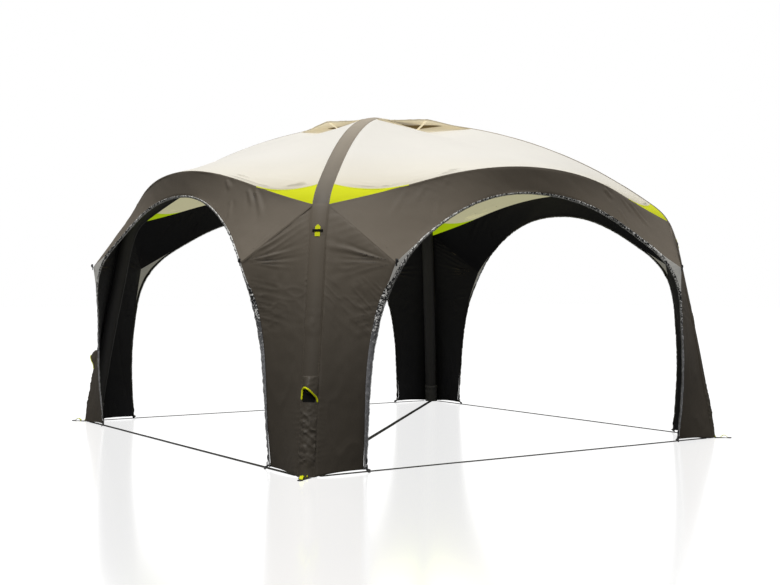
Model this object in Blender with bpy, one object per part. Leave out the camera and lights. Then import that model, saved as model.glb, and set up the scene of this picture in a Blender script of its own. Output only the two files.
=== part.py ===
"""An inflatable party tent: two air beams cross at the top and carry a square canopy of sewn panels.

The frame's origin is on the ground under the crossing. X and Y run square to the four open sides,
and the beams run along the two diagonals. Sizes are in metres. Every panel is worked out on the
right-hand side or at the back right corner, and quarter turns about the middle make the others.
"""

import math

import bmesh
import bpy
import numpy as np

# The footprint, the beams and the fabric, which is thicker here than the real cloth
SIDE_HALF = 1.95
BEAM_RADIUS = 0.060
BEAM_SIDES = 16
BAND_HALF = 0.058
FABRIC = 0.005
GAP = 0.0003
HEM_Z = 0.004
WEBBING = 0.0034
WEBBING_WIDTH = 0.038

# The line over the top of a beam's sleeve, as distance from the centre and height
CROWN_LINE = (
    (0.0, 2.647),
    (0.9, 2.543),
    (1.7, 2.252),
    (2.2, 1.949),
    (2.346, 1.822),
    (2.411, 1.698),
    (2.489, 1.393),
    (2.608, 0.833),
    (2.760, 0.0),
)
BAND_CROWN = 0.011
FOOT_CROWN = 0.030
TIP_Z = 1.780
CROWN_SAMPLES = 400

# A roof panel's middle line, as distance from the centre and height
RIDGE_LINE = ((0.53, 2.512), (1.2, 2.330), (1.5, 2.235), (1.75, 2.148))

# The eave seam: distance along the side from its middle, distance outside the side, height
EAVE_SEAM = ((0.0, -0.012, 2.100), (0.4, -0.022, 2.075), (0.8, -0.072, 2.000), (1.2, -0.150, 1.885))

# The doorway's curved head, in the same terms, down to the flared shoulder of the leg
DOOR_HEAD = (
    (0.0, 0.000, 1.915),
    (0.4, 0.010, 1.872),
    (0.8, 0.038, 1.722),
    (1.1, 0.085, 1.545),
    (1.359, 0.157, 1.383),
)

# The leg flap's free edge: height, distance in from the corner, distance outside the side
FLAP_EDGE = (
    (0.0, 0.445, 0.000),
    (0.35, 0.438, 0.035),
    (0.7, 0.452, 0.055),
    (1.05, 0.509, 0.085),
    (1.383, 0.591, 0.157),
)

# Rows and columns of the panels, as shares of their length, closer where they bend
EAVE_SHARES = (0.0, 0.165, 0.33, 0.49, 0.65, 0.77, 0.885, 1.0)
ROOF_SHARES = (0.0, 0.22, 0.44, 0.64, 0.79, 0.90, 1.0)
LIME_SHARES = (0.0, 0.35, 0.7, 1.0)
VENT_SHARES = (0.0, 0.2, 0.45, 0.72, 1.0)
LEG_SHARES = (0.0, 0.13, 0.27, 0.41, 0.55, 0.68, 0.78, 0.86, 0.93, 1.0)
BAND_SHARES = (-1.0, -0.5, 0.0, 0.5, 1.0)
ACROSS_PANEL = 4

# The lime corners: where they end along the eave and how far they reach up the band
LIME_SHARE = 0.65
LIME_BAND_LENGTH = 0.21

# The square cap at the top: how far it reaches at its corners and in the middle of a side
CAP_HALF = 0.53
CAP_MIDDLE = 0.60

# The zipped trim round a doorway, wider where its gusset fills the corner at the shoulder
TRIM_WIDTH = 0.026
GUSSET_WIDTH = 0.075
GUSSET_REACH = 0.36
TRIM_TURN = 0.45
TRIM_LEAN = 0.3

# Vent hoods, raised most in the middle of the outer edge, each on a round prop with eight sides
HOOD_FABRIC = 0.004
HOOD_LIFT = 0.104
HOOD_RISE = 1.5
HOOD_FALL = 1.6
HOOD_SKIRT = 0.044
SKIRT_FLARE = 0.004
SKIRT_END = 0.001
HOOD_SHARES = (0.0, 0.3, 0.55, 0.78, 0.97)
HOOD_ROWS = (0.2, 0.5, 0.78, 1.0)
PROP_RADIUS = 0.006
PROP_SIDES = 8
PROP_SEAT = 0.0011
PROP_PLACE = 0.25
PROP_HEAD_ROW = 0.95

# Boots, valve hoods and peg tabs
BOOT_HEIGHT = 0.175
BOOT_RADIUS = 0.062
CUFF_RADIUS = 0.066
CUFF_HEIGHT = 0.030
CUFF_SLOPE = 0.006
FOOT_INSET = 0.080
VALVE_Z = (0.645, 0.488)
VALVE_HALF = 0.050
VALVE_LIFT = 0.032
VALVE_RISE = 1.3
VALVE_FALL = 1.5
VALVE_COLUMNS = (-1.0, -0.85, -0.5, 0.0, 0.5, 0.85, 1.0)
VALVE_MOUTH = (0.0, 0.086, 0.078, 0.063, 0.048, 0.032, 0.0)
VALVE_ROWS = (0.0, 0.35, 0.7, 1.0)
VALVE_FABRIC = 0.0025
TAB_TUCK = 0.008
TAB_LENGTH = 0.105
TAB_WIDE = 0.045
TAB_NARROW = 0.012
RING_RADIUS = 0.016
RING_WIRE = 0.003
RING_SIDES = 16
WIRE_SIDES = 6

# The lower beam dips under the other where they cross
DIP_LEVEL = 0.12
DIP_REACH = 0.85
CROSSING_STEPS = 6

SIDES = ("right", "back", "left", "front")
CORNERS = ("back_right", "back_left", "front_left", "front_right")

COLOURS = {
    "dark_fabric": (0.105, 0.092, 0.078),
    "cream_fabric": (0.86, 0.83, 0.75),
    "lime_fabric": (0.70, 0.74, 0.03),
    "band_fabric": (0.30, 0.26, 0.21),
    "tan_fabric": (0.62, 0.50, 0.32),
    "zip_tape": (0.34, 0.33, 0.31),
    "beam_film": (0.018, 0.018, 0.018),
    "black_webbing": (0.05, 0.05, 0.05),
}
FABRIC_ROUGHNESS = 0.75
SMOOTH_ANGLE = math.radians(35)
SAME_POINT = 1e-6
HALL_MIDDLE = np.array((0.0, 0.0, 0.8))


def clear_scene():
    for obj in list(bpy.data.objects):
        bpy.data.objects.remove(obj, do_unlink=True)


def material(name):
    made = bpy.data.materials.get(name)
    if made is None:
        made = bpy.data.materials.new(name)
        made.use_nodes = True
        shader = made.node_tree.nodes["Principled BSDF"]
        shader.inputs["Base Color"].default_value = (*COLOURS[name], 1.0)
        shader.inputs["Roughness"].default_value = FABRIC_ROUGHNESS
        shader.inputs["Metallic"].default_value = 0.0
    return made


def spline(stations, values):
    """A natural cubic curve through values at rising stations, as a function of the station."""
    x = np.array(stations, float)
    y = np.array(values, float).reshape(len(x), -1)
    step = np.diff(x)
    count = len(x)
    system = np.eye(count)
    target = np.zeros_like(y)
    for i in range(1, count - 1):
        system[i, i - 1 : i + 2] = (step[i - 1], 2 * (step[i - 1] + step[i]), step[i])
        target[i] = 6 * ((y[i + 1] - y[i]) / step[i] - (y[i] - y[i - 1]) / step[i - 1])
    bend = np.linalg.solve(system, target)

    def at(where):
        i = int(np.clip(np.searchsorted(x, where) - 1, 0, count - 2))
        left = x[i + 1] - where
        right = where - x[i]
        cubic = (bend[i] * left**3 + bend[i + 1] * right**3) / (6 * step[i])
        start = (y[i] / step[i] - bend[i] * step[i] / 6) * left
        return cubic + start + (y[i + 1] / step[i] - bend[i + 1] * step[i] / 6) * right

    return at


def even_spline(rows):
    """A curve that mirrors about station 0, from rows of station and values."""
    other = [(-row[0], *row[1:]) for row in reversed(rows) if row[0] > 0]
    whole = other + list(rows)
    return spline([row[0] for row in whole], [row[1:] for row in whole])


def chord_spline(points):
    """A curve through points, by share of the summed distance between them."""
    points = np.array(points, float)
    steps = np.linalg.norm(np.diff(points, axis=0), axis=1)
    along = np.concatenate([[0], np.cumsum(steps)])
    return spline(along / along[-1], points)


def turned(points, quarter):
    """Points turned by quarter turns about the tent's middle."""
    angle = quarter * math.pi / 2
    c, s = round(math.cos(angle)), round(math.sin(angle))
    spin = np.array(((c, -s, 0), (s, c, 0), (0, 0, 1)), float)
    return np.asarray(points, float) @ spin.T


def flipped(point):
    """The point on the other side of the right side's middle."""
    return point * np.array((1, -1, 1))


def from_diagonal(out, cross, z):
    """A point by the back right diagonal: out from the centre, and cross towards the back."""
    root = math.sqrt(2)
    return np.array(((out - cross) / root, (out + cross) / root, z))


def mix(first, last, count):
    return [first + (last - first) * i / count for i in range(count + 1)]


class Crown:
    """The sleeve's crown line in its diagonal plane: 0 at one foot, 0.5 at the top, 1 at the other foot."""

    def __init__(self):
        far = [(-out, z) for out, z in reversed(CROWN_LINE)]
        self.at = chord_spline(far + list(CROWN_LINE[1:]))
        self.shares = np.linspace(0.5, 1.0, CROWN_SAMPLES)
        self.points = np.array([self.at(share) for share in self.shares])
        steps = np.linalg.norm(np.diff(self.points, axis=0), axis=1)
        self.along = np.concatenate([[0], np.cumsum(steps)])
        self.tip = self.at_height(TIP_Z)

    def at_height(self, z):
        return float(np.interp(-z, -self.points[:, 1], self.shares))

    def at_out(self, out):
        return float(np.interp(out, self.points[:, 0], self.shares))

    def above(self, share, length):
        """The share that lies a length further up the line."""
        along = np.interp(share, self.shares, self.along) - length
        return float(np.interp(along, self.along, self.shares))

    def normal(self, share):
        tiny = 1e-4
        run = self.at(min(share + tiny, 1.0)) - self.at(max(share - tiny, 0.0))
        return np.array((-run[1], run[0])) / np.linalg.norm(run)

    def footward(self, share):
        """0 on the roof and 1 at the foot."""
        return max(0.0, (abs(share - 0.5) + 0.5 - self.tip) / (1 - self.tip))

    def band_point(self, share, cross):
        """A point of the sleeve's surface, at a distance across from its crown."""
        depth = BAND_CROWN + (FOOT_CROWN - BAND_CROWN) * self.footward(share)
        out, z = self.at(share) - self.normal(share) * depth * (cross / BAND_HALF) ** 2
        return from_diagonal(out, cross, max(z, HEM_Z))

    def beam_point(self, share, under):
        """A point of the beam's middle line, as out and height."""
        snug = FABRIC + GAP + BEAM_RADIUS
        inset = snug + (FOOT_INSET - snug) * self.footward(share)
        out, z = self.at(share) - self.normal(share) * inset
        if under:
            fade = float(np.clip((DIP_REACH - abs(out)) / (DIP_REACH - DIP_LEVEL), 0, 1))
            z -= (2 * BEAM_RADIUS + GAP) * fade * fade * (3 - 2 * fade)
        return np.array((out, z))

    def beam_run(self, share, under):
        """The beam's direction there, as out and height, towards the far foot."""
        tiny = 1e-3
        run = self.beam_point(share + tiny, under) - self.beam_point(share - tiny, under)
        return run / np.linalg.norm(run)


CROWN = Crown()
SHARE_TOP = CROWN.at_out(BAND_HALF)
SHARE_CAP = CROWN.at_out(CAP_HALF * math.sqrt(2))
SHARE_LIME = CROWN.above(CROWN.tip, LIME_BAND_LENGTH)

LIME_TIP = CROWN.band_point(CROWN.tip, -BAND_HALF)
ROOF_TOP = CROWN.band_point(SHARE_TOP, -BAND_HALF)
HEAD_AT = even_spline(DOOR_HEAD)
EAVE_AT = even_spline(EAVE_SEAM + ((LIME_TIP[1], LIME_TIP[0] - SIDE_HALF, LIME_TIP[2]),))
FLAP_AT = spline([row[0] for row in FLAP_EDGE], [row[1:] for row in FLAP_EDGE])
EAVE_MIDDLE = (SIDE_HALF + EAVE_SEAM[0][1], EAVE_SEAM[0][2])
RIDGE_AT = chord_spline(((ROOF_TOP[0], ROOF_TOP[2]),) + RIDGE_LINE + (EAVE_MIDDLE,))


def eave_point(share):
    """The seam between roof and arch, from a side's middle (0) to the lime tip (1)."""
    along = share * LIME_TIP[1]
    outside, z = EAVE_AT(along)
    return np.array((SIDE_HALF + outside, along, z))


def head_point(share):
    """The doorway's head, from a side's middle (0) to the shoulder (1)."""
    along = share * DOOR_HEAD[-1][0]
    outside, z = HEAD_AT(along)
    return np.array((SIDE_HALF + outside, along, z))


def flap_point(share):
    """The leg flap's free edge, from the ground (0) to the shoulder (1)."""
    z = share * FLAP_EDGE[-1][0]
    inset, outside = FLAP_AT(z)
    return np.array((SIDE_HALF + outside, SIDE_HALF - inset, max(z, HEM_Z)))


def crown_share(down):
    """The crown's share at a share of the way down the band's roof seam."""
    return SHARE_TOP + down * (CROWN.tip - SHARE_TOP)


def roof_point(share, down):
    """A point of the right side's roof: share from its middle to the band, down from top to eave."""
    out, z = RIDGE_AT(down)
    middle = np.array((out, 0.0, z))
    seam = CROWN.band_point(crown_share(down), -BAND_HALF)
    bow = eave_point(share) - (1 - share) * eave_point(0) - share * eave_point(1)
    return (1 - share) * middle + share * seam + bow * down**3


def roof_column(share, top, bottom, rows):
    return [roof_point(share, top + (bottom - top) * row) for row in rows]


RIDGE_DOWNS = np.linspace(0, 1, CROWN_SAMPLES)
RIDGE_OUTS = [RIDGE_AT(down)[0] for down in RIDGE_DOWNS]
CAP_DOWN_RIDGE = float(np.interp(CAP_MIDDLE, RIDGE_OUTS, RIDGE_DOWNS))
CAP_DOWN_BAND = (SHARE_CAP - SHARE_TOP) / (CROWN.tip - SHARE_TOP)
LIME_DOWN = (SHARE_LIME - SHARE_TOP) / (CROWN.tip - SHARE_TOP)


def cap_down(share):
    """How far down the roof the vent cap's edge lies."""
    return CAP_DOWN_RIDGE + (CAP_DOWN_BAND - CAP_DOWN_RIDGE) * share


def lime_down(share):
    """How far down the roof the cream panel reaches: to the eave, or to the lime corner."""
    fade = min(1.0, (1 - share) / (1 - LIME_SHARE))
    return LIME_DOWN + (1 - LIME_DOWN) * fade


def both_halves(columns):
    """A half panel's columns, repeated on the other side of its middle."""
    other = [[flipped(point) for point in column] for column in reversed(columns)]
    return other[:-1] + columns


def arch_grid():
    half = [mix(eave_point(share), head_point(share), ACROSS_PANEL) for share in EAVE_SHARES]
    return both_halves(half)


def roof_grid():
    half = [roof_column(share, cap_down(share), lime_down(share), ROOF_SHARES) for share in EAVE_SHARES]
    return both_halves(half)


def vent_grid():
    return both_halves([roof_column(share, 0, cap_down(share), VENT_SHARES) for share in EAVE_SHARES])


def lime_grid():
    """The lime corner beside a band, which narrows to a point along the eave."""
    shares = [share for share in EAVE_SHARES if share >= LIME_SHARE]
    return [roof_column(share, lime_down(share), 1, LIME_SHARES) for share in shares]


def other_lime_grid():
    return [[flipped(point) for point in column] for column in reversed(lime_grid())]


def band_downs():
    """How far down the roof the band's rows lie: where those of the panels beside it do."""
    cap, lime = cap_down(1), lime_down(1)
    downs = [cap * row for row in VENT_SHARES]
    downs += [cap + (lime - cap) * row for row in ROOF_SHARES[1:]]
    downs += [lime + (1 - lime) * row for row in LIME_SHARES[1:]]
    return downs


def band_row(crown_at):
    return [CROWN.band_point(crown_at, BAND_HALF * share) for share in BAND_SHARES]


def band_grid():
    return [band_row(crown_share(down)) for down in band_downs()]


def leg_crown_shares():
    """The crown's shares at the leg's rows, from the ground up to the lime tip."""
    return [1 + (CROWN.tip - 1) * share for share in LEG_SHARES]


def leg_grid():
    """The back right leg, from the right side's flap edge over the corner to the back's."""
    rows = []
    for share, crown_at in zip(LEG_SHARES, leg_crown_shares()):
        band = band_row(crown_at)
        flap = mix(flap_point(share), band[0], ACROSS_PANEL)[:-1]
        other = [point[[1, 0, 2]] for point in reversed(flap)]
        rows.append(flap + band + other)
    return rows


def trim_grid():
    """The right doorway's trim, up one leg, over the head and down the other leg."""
    edge = [flap_point(share) for share in LEG_SHARES[:-1]]
    edge += [head_point(share) for share in reversed(EAVE_SHARES)]
    edge += [flipped(point) for point in reversed(edge[:-1])]
    shoulder = flap_point(1)
    inner = []
    for i, point in enumerate(edge):
        run = edge[min(i + 1, len(edge) - 1)] - edge[max(i - 1, 0)]
        across = np.array((0.0, -run[2], run[1]))
        across /= np.linalg.norm(across)
        apart = min(np.linalg.norm(point - shoulder), np.linalg.norm(point - flipped(shoulder)))
        near = max(0.0, 1 - apart / GUSSET_REACH)
        width = TRIM_WIDTH + (GUSSET_WIDTH - TRIM_WIDTH) * near**2
        turn = np.array((-TRIM_TURN * (TRIM_LEAN + near), 0.0, 0.0))
        moved = point + (across + turn) * width
        moved[2] = max(moved[2], HEM_Z)
        inner.append(moved)
    return [edge, inner]


def oriented(grid):
    """The grid turned so that its normals point away from the tent's inside."""
    points = np.array(grid)
    middle = points.shape[0] // 2
    patch = points[middle - 1 : middle + 1, :2]
    normal = np.cross(patch[1, 1] - patch[0, 0], patch[0, 1] - patch[1, 0])
    outward = patch.reshape(-1, 3).mean(axis=0) - HALL_MIDDLE
    return points if np.dot(normal, outward) > 0 else points[::-1]


def key_of(point):
    return tuple(np.round(point, 5) + 0.0)


def add_normals(total, grid, quarter=0):
    """Adds the normals of a grid's cells to the sums kept for their corners."""
    points = turned(grid.reshape(-1, 3), quarter).reshape(grid.shape)
    for i in range(points.shape[0] - 1):
        for j in range(points.shape[1] - 1):
            corners = (points[i, j], points[i + 1, j], points[i + 1, j + 1], points[i, j + 1])
            normal = np.cross(corners[2] - corners[0], corners[3] - corners[1])
            for corner in corners:
                key = key_of(corner)
                total[key] = total.get(key, 0) + normal


def drawn_in(points, distance):
    """A grid with its outline drawn in by a distance, so that neighbours don't touch."""
    moved = points.copy()
    for axis in (0, 1):
        grid = np.moveaxis(moved, axis, 0)
        source = np.moveaxis(points, axis, 0)
        for edge, inside in ((0, 1), (-1, -2)):
            step = source[inside] - source[edge]
            length = np.linalg.norm(step, axis=1, keepdims=True)
            grid[edge] += step / np.maximum(length, SAME_POINT) * distance
            if np.ptp(source[edge], axis=0).max() < SAME_POINT:
                grid[edge] = grid[edge].mean(axis=0)
    return moved


def outline_of(rows, columns):
    """The indices round a grid's edge, in order."""
    ring = list(range(columns))
    ring += [i * columns + columns - 1 for i in range(1, rows)]
    ring += [(rows - 1) * columns + j for j in range(columns - 2, -1, -1)]
    ring += [i * columns for i in range(rows - 2, 0, -1)]
    return ring


def edge_faces(a, b, under, from_first):
    """A sheet's cut edge, split so that the two sheets of a seam are split alike."""
    if from_first:
        return [(a, b, b + under), (a, b + under, a + under)]
    return [(a, b, a + under), (b, b + under, a + under)]


def sheet(name, grid, normals, slot, quarter, thickness=FABRIC):
    """A closed sheet of one thickness, inwards from a grid of outer points."""
    rows, columns = grid.shape[:2]
    outward = np.array([[normals[key_of(point)] for point in row] for row in grid])
    outward /= np.linalg.norm(outward, axis=2, keepdims=True)
    outer = drawn_in(grid, GAP / 2)
    inner = outer - outward * thickness
    inner[:, :, 2] = np.maximum(inner[:, :, 2], HEM_Z)
    under = rows * columns
    faces = []
    for i in range(rows - 1):
        for j in range(columns - 1):
            a, b = i * columns + j, (i + 1) * columns + j
            faces.append((a, b, b + 1, a + 1))
            faces.append((a + under, a + 1 + under, b + 1 + under, b + under))
    ring = outline_of(rows, columns)
    heights = np.round(grid.reshape(-1, 3)[:, 2], 5)
    for a, b in zip(ring, ring[1:] + ring[:1]):
        faces += edge_faces(a, b, under, heights[a] > heights[b])
    vertices = np.concatenate([outer.reshape(-1, 3), inner.reshape(-1, 3)])
    return mesh_object(name, turned(vertices, quarter), faces, slot)


def lone_sheet(name, grid, slot, quarter, thickness):
    """A sheet that shares no seam with another."""
    points = oriented(grid)
    normals = {}
    add_normals(normals, points)
    return sheet(name, points, normals, slot, quarter, thickness)


def mesh_object(name, vertices, faces, slot):
    mesh = bpy.data.meshes.new(name)
    mesh.from_pydata([tuple(vertex) for vertex in vertices], [], faces)
    work = bmesh.new()
    work.from_mesh(mesh)
    bmesh.ops.remove_doubles(work, verts=work.verts, dist=SAME_POINT)
    bmesh.ops.recalc_face_normals(work, faces=work.faces)
    if work.calc_volume(signed=True) < 0:
        bmesh.ops.reverse_faces(work, faces=work.faces)
    work.to_mesh(mesh)
    work.free()
    mesh.materials.append(material(slot))
    mesh.shade_smooth()
    mesh.set_sharp_from_angle(angle=SMOOTH_ANGLE)
    obj = bpy.data.objects.new(name, mesh)
    bpy.context.scene.collection.objects.link(obj)
    return obj


def join_solids(main_obj, extra):
    """Makes one closed body of two solids that overlap, and removes the second."""
    joint = main_obj.modifiers.new("join", "BOOLEAN")
    joint.operation = "UNION"
    joint.object = extra
    bpy.context.view_layer.update()
    graph = bpy.context.evaluated_depsgraph_get()
    whole = bpy.data.meshes.new_from_object(main_obj.evaluated_get(graph))
    main_obj.modifiers.clear()
    main_obj.data = whole
    bpy.data.objects.remove(extra, do_unlink=True)


def loft(name, rings, slot):
    """A closed solid through rings of equal count, with flat ends."""
    count = len(rings[0])
    faces = [tuple(range(count))]
    for r in range(len(rings) - 1):
        for i in range(count):
            a, b = r * count + i, r * count + (i + 1) % count
            faces.append((a, b, b + count, a + count))
    last = (len(rings) - 1) * count
    faces.append(tuple(range(last + count - 1, last - 1, -1)))
    return mesh_object(name, np.concatenate(rings), faces, slot)


def circle(centre, radius, first, second, count):
    turns = [2 * math.pi * i / count for i in range(count)]
    return [centre + radius * (first * math.cos(t) + second * math.sin(t)) for t in turns]


def boot_seat():
    """The crown's share where a beam meets its boot, the point there and the beam's rise."""
    shares = np.linspace(CROWN.tip, 1.0, CROWN_SAMPLES)
    heights = [CROWN.beam_point(share, False)[1] for share in shares]
    share = float(np.interp(-BOOT_HEIGHT, -np.array(heights), shares))
    return share, CROWN.beam_point(share, False), -CROWN.beam_run(share, False)


def beam_shares():
    """The shares along one half of a beam, from its boot to the top, where the sleeve's rows lie."""
    end = boot_seat()[0]
    leg = [share for share in leg_crown_shares() if share < end]
    return [end] + leg + [crown_share(down) for down in reversed(band_downs()[:-1])]


def air_beam(name, quarter, under):
    """A tube on a smooth curve from boot to boot."""
    half = beam_shares()
    top = mix(half[-1], 1 - half[-1], CROSSING_STEPS)[1:-1] if under else [0.5]
    shares = half + top + [1 - share for share in reversed(half)]
    cross = from_diagonal(0.0, 1.0, 0.0)
    rings = []
    for i, share in enumerate(shares):
        out, z = CROWN.beam_point(share, under)
        run = CROWN.beam_run(share, under)
        seat = {0: -GAP, len(shares) - 1: GAP}.get(i, 0.0)
        middle = from_diagonal(out + run[0] * seat, 0.0, z + run[1] * seat)
        upward = from_diagonal(-run[1], 0.0, run[0])
        rings.append(turned(circle(middle, BEAM_RADIUS, upward, cross, BEAM_SIDES), quarter))
    return loft(name, rings, "beam_film")


def boot_out(z):
    """How far out the middle line of a boot lies at a height."""
    _, top, rise = boot_seat()
    return top[0] - rise[0] / rise[1] * (top[1] - z)


def beam_boot(corner, quarter):
    """The cuffed boot that a beam's foot stands in, flat on the ground."""
    _, top, rise = boot_seat()
    cross = from_diagonal(0.0, 1.0, 0.0)
    flat = from_diagonal(1.0, 0.0, 0.0)
    up = from_diagonal(rise[0], 0.0, rise[1])
    side = np.cross(up, cross)
    head = from_diagonal(top[0], 0.0, top[1])
    foot = from_diagonal(boot_out(0.0), 0.0, 0.0)
    rings = [circle(foot, BOOT_RADIUS, cross, -flat, BEAM_SIDES)]
    cuff = ((CUFF_HEIGHT, BOOT_RADIUS), (CUFF_HEIGHT - CUFF_SLOPE, CUFF_RADIUS), (0.0, CUFF_RADIUS))
    for back, radius in cuff:
        rings.append(circle(head - up * back, radius, cross, side, BEAM_SIDES))
    return loft(f"beam_boot_{corner}", [turned(ring, quarter) for ring in rings], "beam_film")


def hood_point(share, row):
    """A point of the raised hood: highest in the middle of its outer edge."""
    lift = HOOD_LIFT * row**HOOD_RISE * (1 - share**HOOD_FALL)
    return roof_point(share, cap_down(share) * row) + np.array((0, 0, 2 * GAP + HOOD_FABRIC + lift))


def vent_hood(side, quarter):
    """The raised flap over a vent, with a skirt along its edge and a prop in the middle."""
    columns = []
    for share in HOOD_SHARES:
        column = [hood_point(share, row) for row in HOOD_ROWS]
        drop = HOOD_SKIRT * (1 - share**HOOD_FALL) + SKIRT_END
        column.append(column[-1] + np.array((SKIRT_FLARE, 0, -drop)))
        columns.append(column)
    hood = lone_sheet(f"vent_hood_{side}", both_halves(columns), "tan_fabric", quarter, HOOD_FABRIC)
    above, edge = [roof_point(0.0, cap_down(0.0) * row) for row in VENT_SHARES[-2:]]
    foot = above + (edge - above) * PROP_PLACE
    slope = (edge - above) / np.linalg.norm(edge - above)
    across = np.array((0.0, 1.0, 0.0))
    head = hood_point(0.0, PROP_HEAD_ROW) - np.array((0, 0, HOOD_FABRIC / 2))
    rings = [circle(foot + np.cross(slope, across) * PROP_SEAT, PROP_RADIUS, slope, across, PROP_SIDES)]
    rings.append(circle(head, PROP_RADIUS, np.array((1.0, 0.0, 0.0)), across, PROP_SIDES))
    prop = loft("prop", [turned(ring, quarter) for ring in rings], "tan_fabric")
    join_solids(hood, prop)
    return hood


def slab(name, outline, slot, quarter):
    """A flat strip of webbing on the ground, over an outline in plan."""
    low = [np.array((x, y, 0.0)) for x, y in outline]
    high = [np.array((x, y, WEBBING)) for x, y in outline]
    return loft(name, [turned(low, quarter), turned(high, quarter)], slot)


def side_strap(side, quarter):
    """The webbing along the ground from boot to boot, under the hems of two neighbouring legs."""
    inner, outer = SIDE_HALF - WEBBING_WIDTH, SIDE_HALF
    boot = boot_out(0.0) / math.sqrt(2)
    reach = boot - math.sqrt(BOOT_RADIUS**2 - (inner - boot) ** 2) - GAP
    outline = ((inner, -reach), (outer, -reach), (outer, reach), (inner, reach))
    return slab(f"ground_strap_{side}", outline, "black_webbing", quarter)


def diagonal_strap():
    """The webbing from boot to boot, under the beam from the front right to the back left."""
    reach = boot_out(WEBBING) - BOOT_RADIUS - GAP
    half = WEBBING_WIDTH / 2
    corners = ((-reach, -half), (reach, -half), (reach, half), (-reach, half))
    outline = [from_diagonal(out, cross, 0)[:2] for out, cross in corners]
    return slab("ground_strap_diagonal", outline, "black_webbing", 1)


def peg_tab(corner, quarter):
    """The webbing tab and steel ring at a corner, where a peg holds the tent down."""
    start = CROWN_LINE[-1][0] - TAB_TUCK
    end = start + TAB_LENGTH
    corners = ((start, -TAB_WIDE), (end, -TAB_NARROW), (end, TAB_NARROW), (start, TAB_WIDE))
    outline = [from_diagonal(out, cross, 0)[:2] for out, cross in corners]
    tab = slab(f"peg_tab_{corner}", outline, "black_webbing", quarter)
    flat, cross, up = from_diagonal(1, 0, 0), from_diagonal(0, 1, 0), np.array((0.0, 0.0, 1.0))
    middle = from_diagonal(end + RING_RADIUS - RING_WIRE, 0, RING_WIRE)
    rings = []
    for i in range(RING_SIDES):
        turn = 2 * math.pi * i / RING_SIDES
        outward = flat * math.cos(turn) + cross * math.sin(turn)
        rings.append(circle(middle + outward * RING_RADIUS, RING_WIRE, outward, up, WIRE_SIDES))
    ring = closed_loop("ring", [turned(one, quarter) for one in rings], "black_webbing")
    join_solids(tab, ring)
    return tab


def closed_loop(name, rings, slot):
    """A ring-shaped solid through a closed round of sections."""
    count = len(rings[0])
    faces = []
    for r in range(len(rings)):
        after = (r + 1) % len(rings)
        for i in range(count):
            j = (i + 1) % count
            faces.append((r * count + i, r * count + j, after * count + j, after * count + i))
    return mesh_object(name, np.concatenate(rings), faces, slot)


def valve_hood(corner, quarter):
    """The small flap over a beam's valve on the outside of the leg, open below between its two sewn sides."""
    top = CROWN.at_height(VALVE_Z[0])
    columns = []
    for side, mouth in zip(VALVE_COLUMNS, VALVE_MOUTH):
        low = CROWN.at_height(VALVE_Z[1] + mouth)
        column = []
        for row in VALVE_ROWS:
            share = top + (low - top) * row
            out, z = CROWN.normal(share)
            bulge = VALVE_LIFT * row**VALVE_RISE * (1 - abs(side) ** VALVE_FALL)
            lift = from_diagonal(out, 0.0, z) * (2 * GAP + VALVE_FABRIC + bulge)
            column.append(CROWN.band_point(share, VALVE_HALF * side) + lift)
        columns.append(column)
    return lone_sheet(f"valve_hood_{corner}", columns, "dark_fabric", quarter, VALVE_FABRIC)


def crown_patch(normals):
    """The piece over the crossing, between the ends of the four bands."""
    rim = np.concatenate([turned(band_row(SHARE_TOP)[:-1], quarter) for quarter in range(4)])
    outward = np.array([normals[key_of(point)] for point in rim])
    outward /= np.linalg.norm(outward, axis=1, keepdims=True)
    top = np.array((0.0, 0.0, CROWN_LINE[0][1]))
    step = top - rim
    rim += step / np.linalg.norm(step, axis=1, keepdims=True) * GAP / 2
    count = len(rim)
    vertices = np.concatenate([rim, rim - outward * FABRIC, [top, top - np.array((0, 0, FABRIC))]])
    faces = []
    for i in range(count):
        j = (i + 1) % count
        faces.append((i, j, 2 * count))
        faces.append((count + j, count + i, 2 * count + 1))
        faces.append((i, count + i, count + j, j))
    return mesh_object("crown_patch", vertices, faces, "band_fabric")


def canopy():
    """Every sewn panel, with neighbours meeting edge to edge."""
    sheets = [
        ("arch_panel_{side}", arch_grid(), "dark_fabric"),
        ("roof_panel_{side}", roof_grid(), "cream_fabric"),
        ("vent_panel_{side}", vent_grid(), "tan_fabric"),
        ("door_trim_{side}", trim_grid(), "zip_tape"),
        ("leg_{corner}", leg_grid(), "dark_fabric"),
        ("roof_band_{corner}", band_grid(), "band_fabric"),
        ("lime_panel_{corner}_{side}", lime_grid(), "lime_fabric"),
        ("lime_panel_{corner_before}_{side}", other_lime_grid(), "lime_fabric"),
    ]
    sheets = [(name, oriented(grid), slot) for name, grid, slot in sheets]
    normals = {}
    for quarter in range(4):
        for _, grid, _ in sheets:
            add_normals(normals, grid, quarter)
    for quarter, (side, corner) in enumerate(zip(SIDES, CORNERS)):
        places = {"side": side, "corner": corner, "corner_before": CORNERS[quarter - 1]}
        for name, grid, slot in sheets:
            sheet(name.format(**places), grid, normals, slot, quarter)
    crown_patch(normals)


def main():
    clear_scene()
    canopy()
    air_beam("air_beam_front_right_to_back_left", 1, False)
    air_beam("air_beam_front_left_to_back_right", 0, True)
    for quarter, corner in enumerate(CORNERS):
        beam_boot(corner, quarter)
        peg_tab(corner, quarter)
        if corner.startswith("front"):
            valve_hood(corner, quarter)
    for quarter, side in enumerate(SIDES):
        vent_hood(side, quarter)
        side_strap(side, quarter)
    diagonal_strap()


main()
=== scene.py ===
"""The party tent's looks: cloth panels with their folds, zips, hoods, beams and webbing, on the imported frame.

Everything is worked out on the right-hand side or at the back right corner, where the side's opening
faces +X and the corner points along +X and +Y. Quarter turns about the middle make the others.
"""

import math

import bpy
import numpy as np
from mathutils import Matrix, Vector


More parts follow.
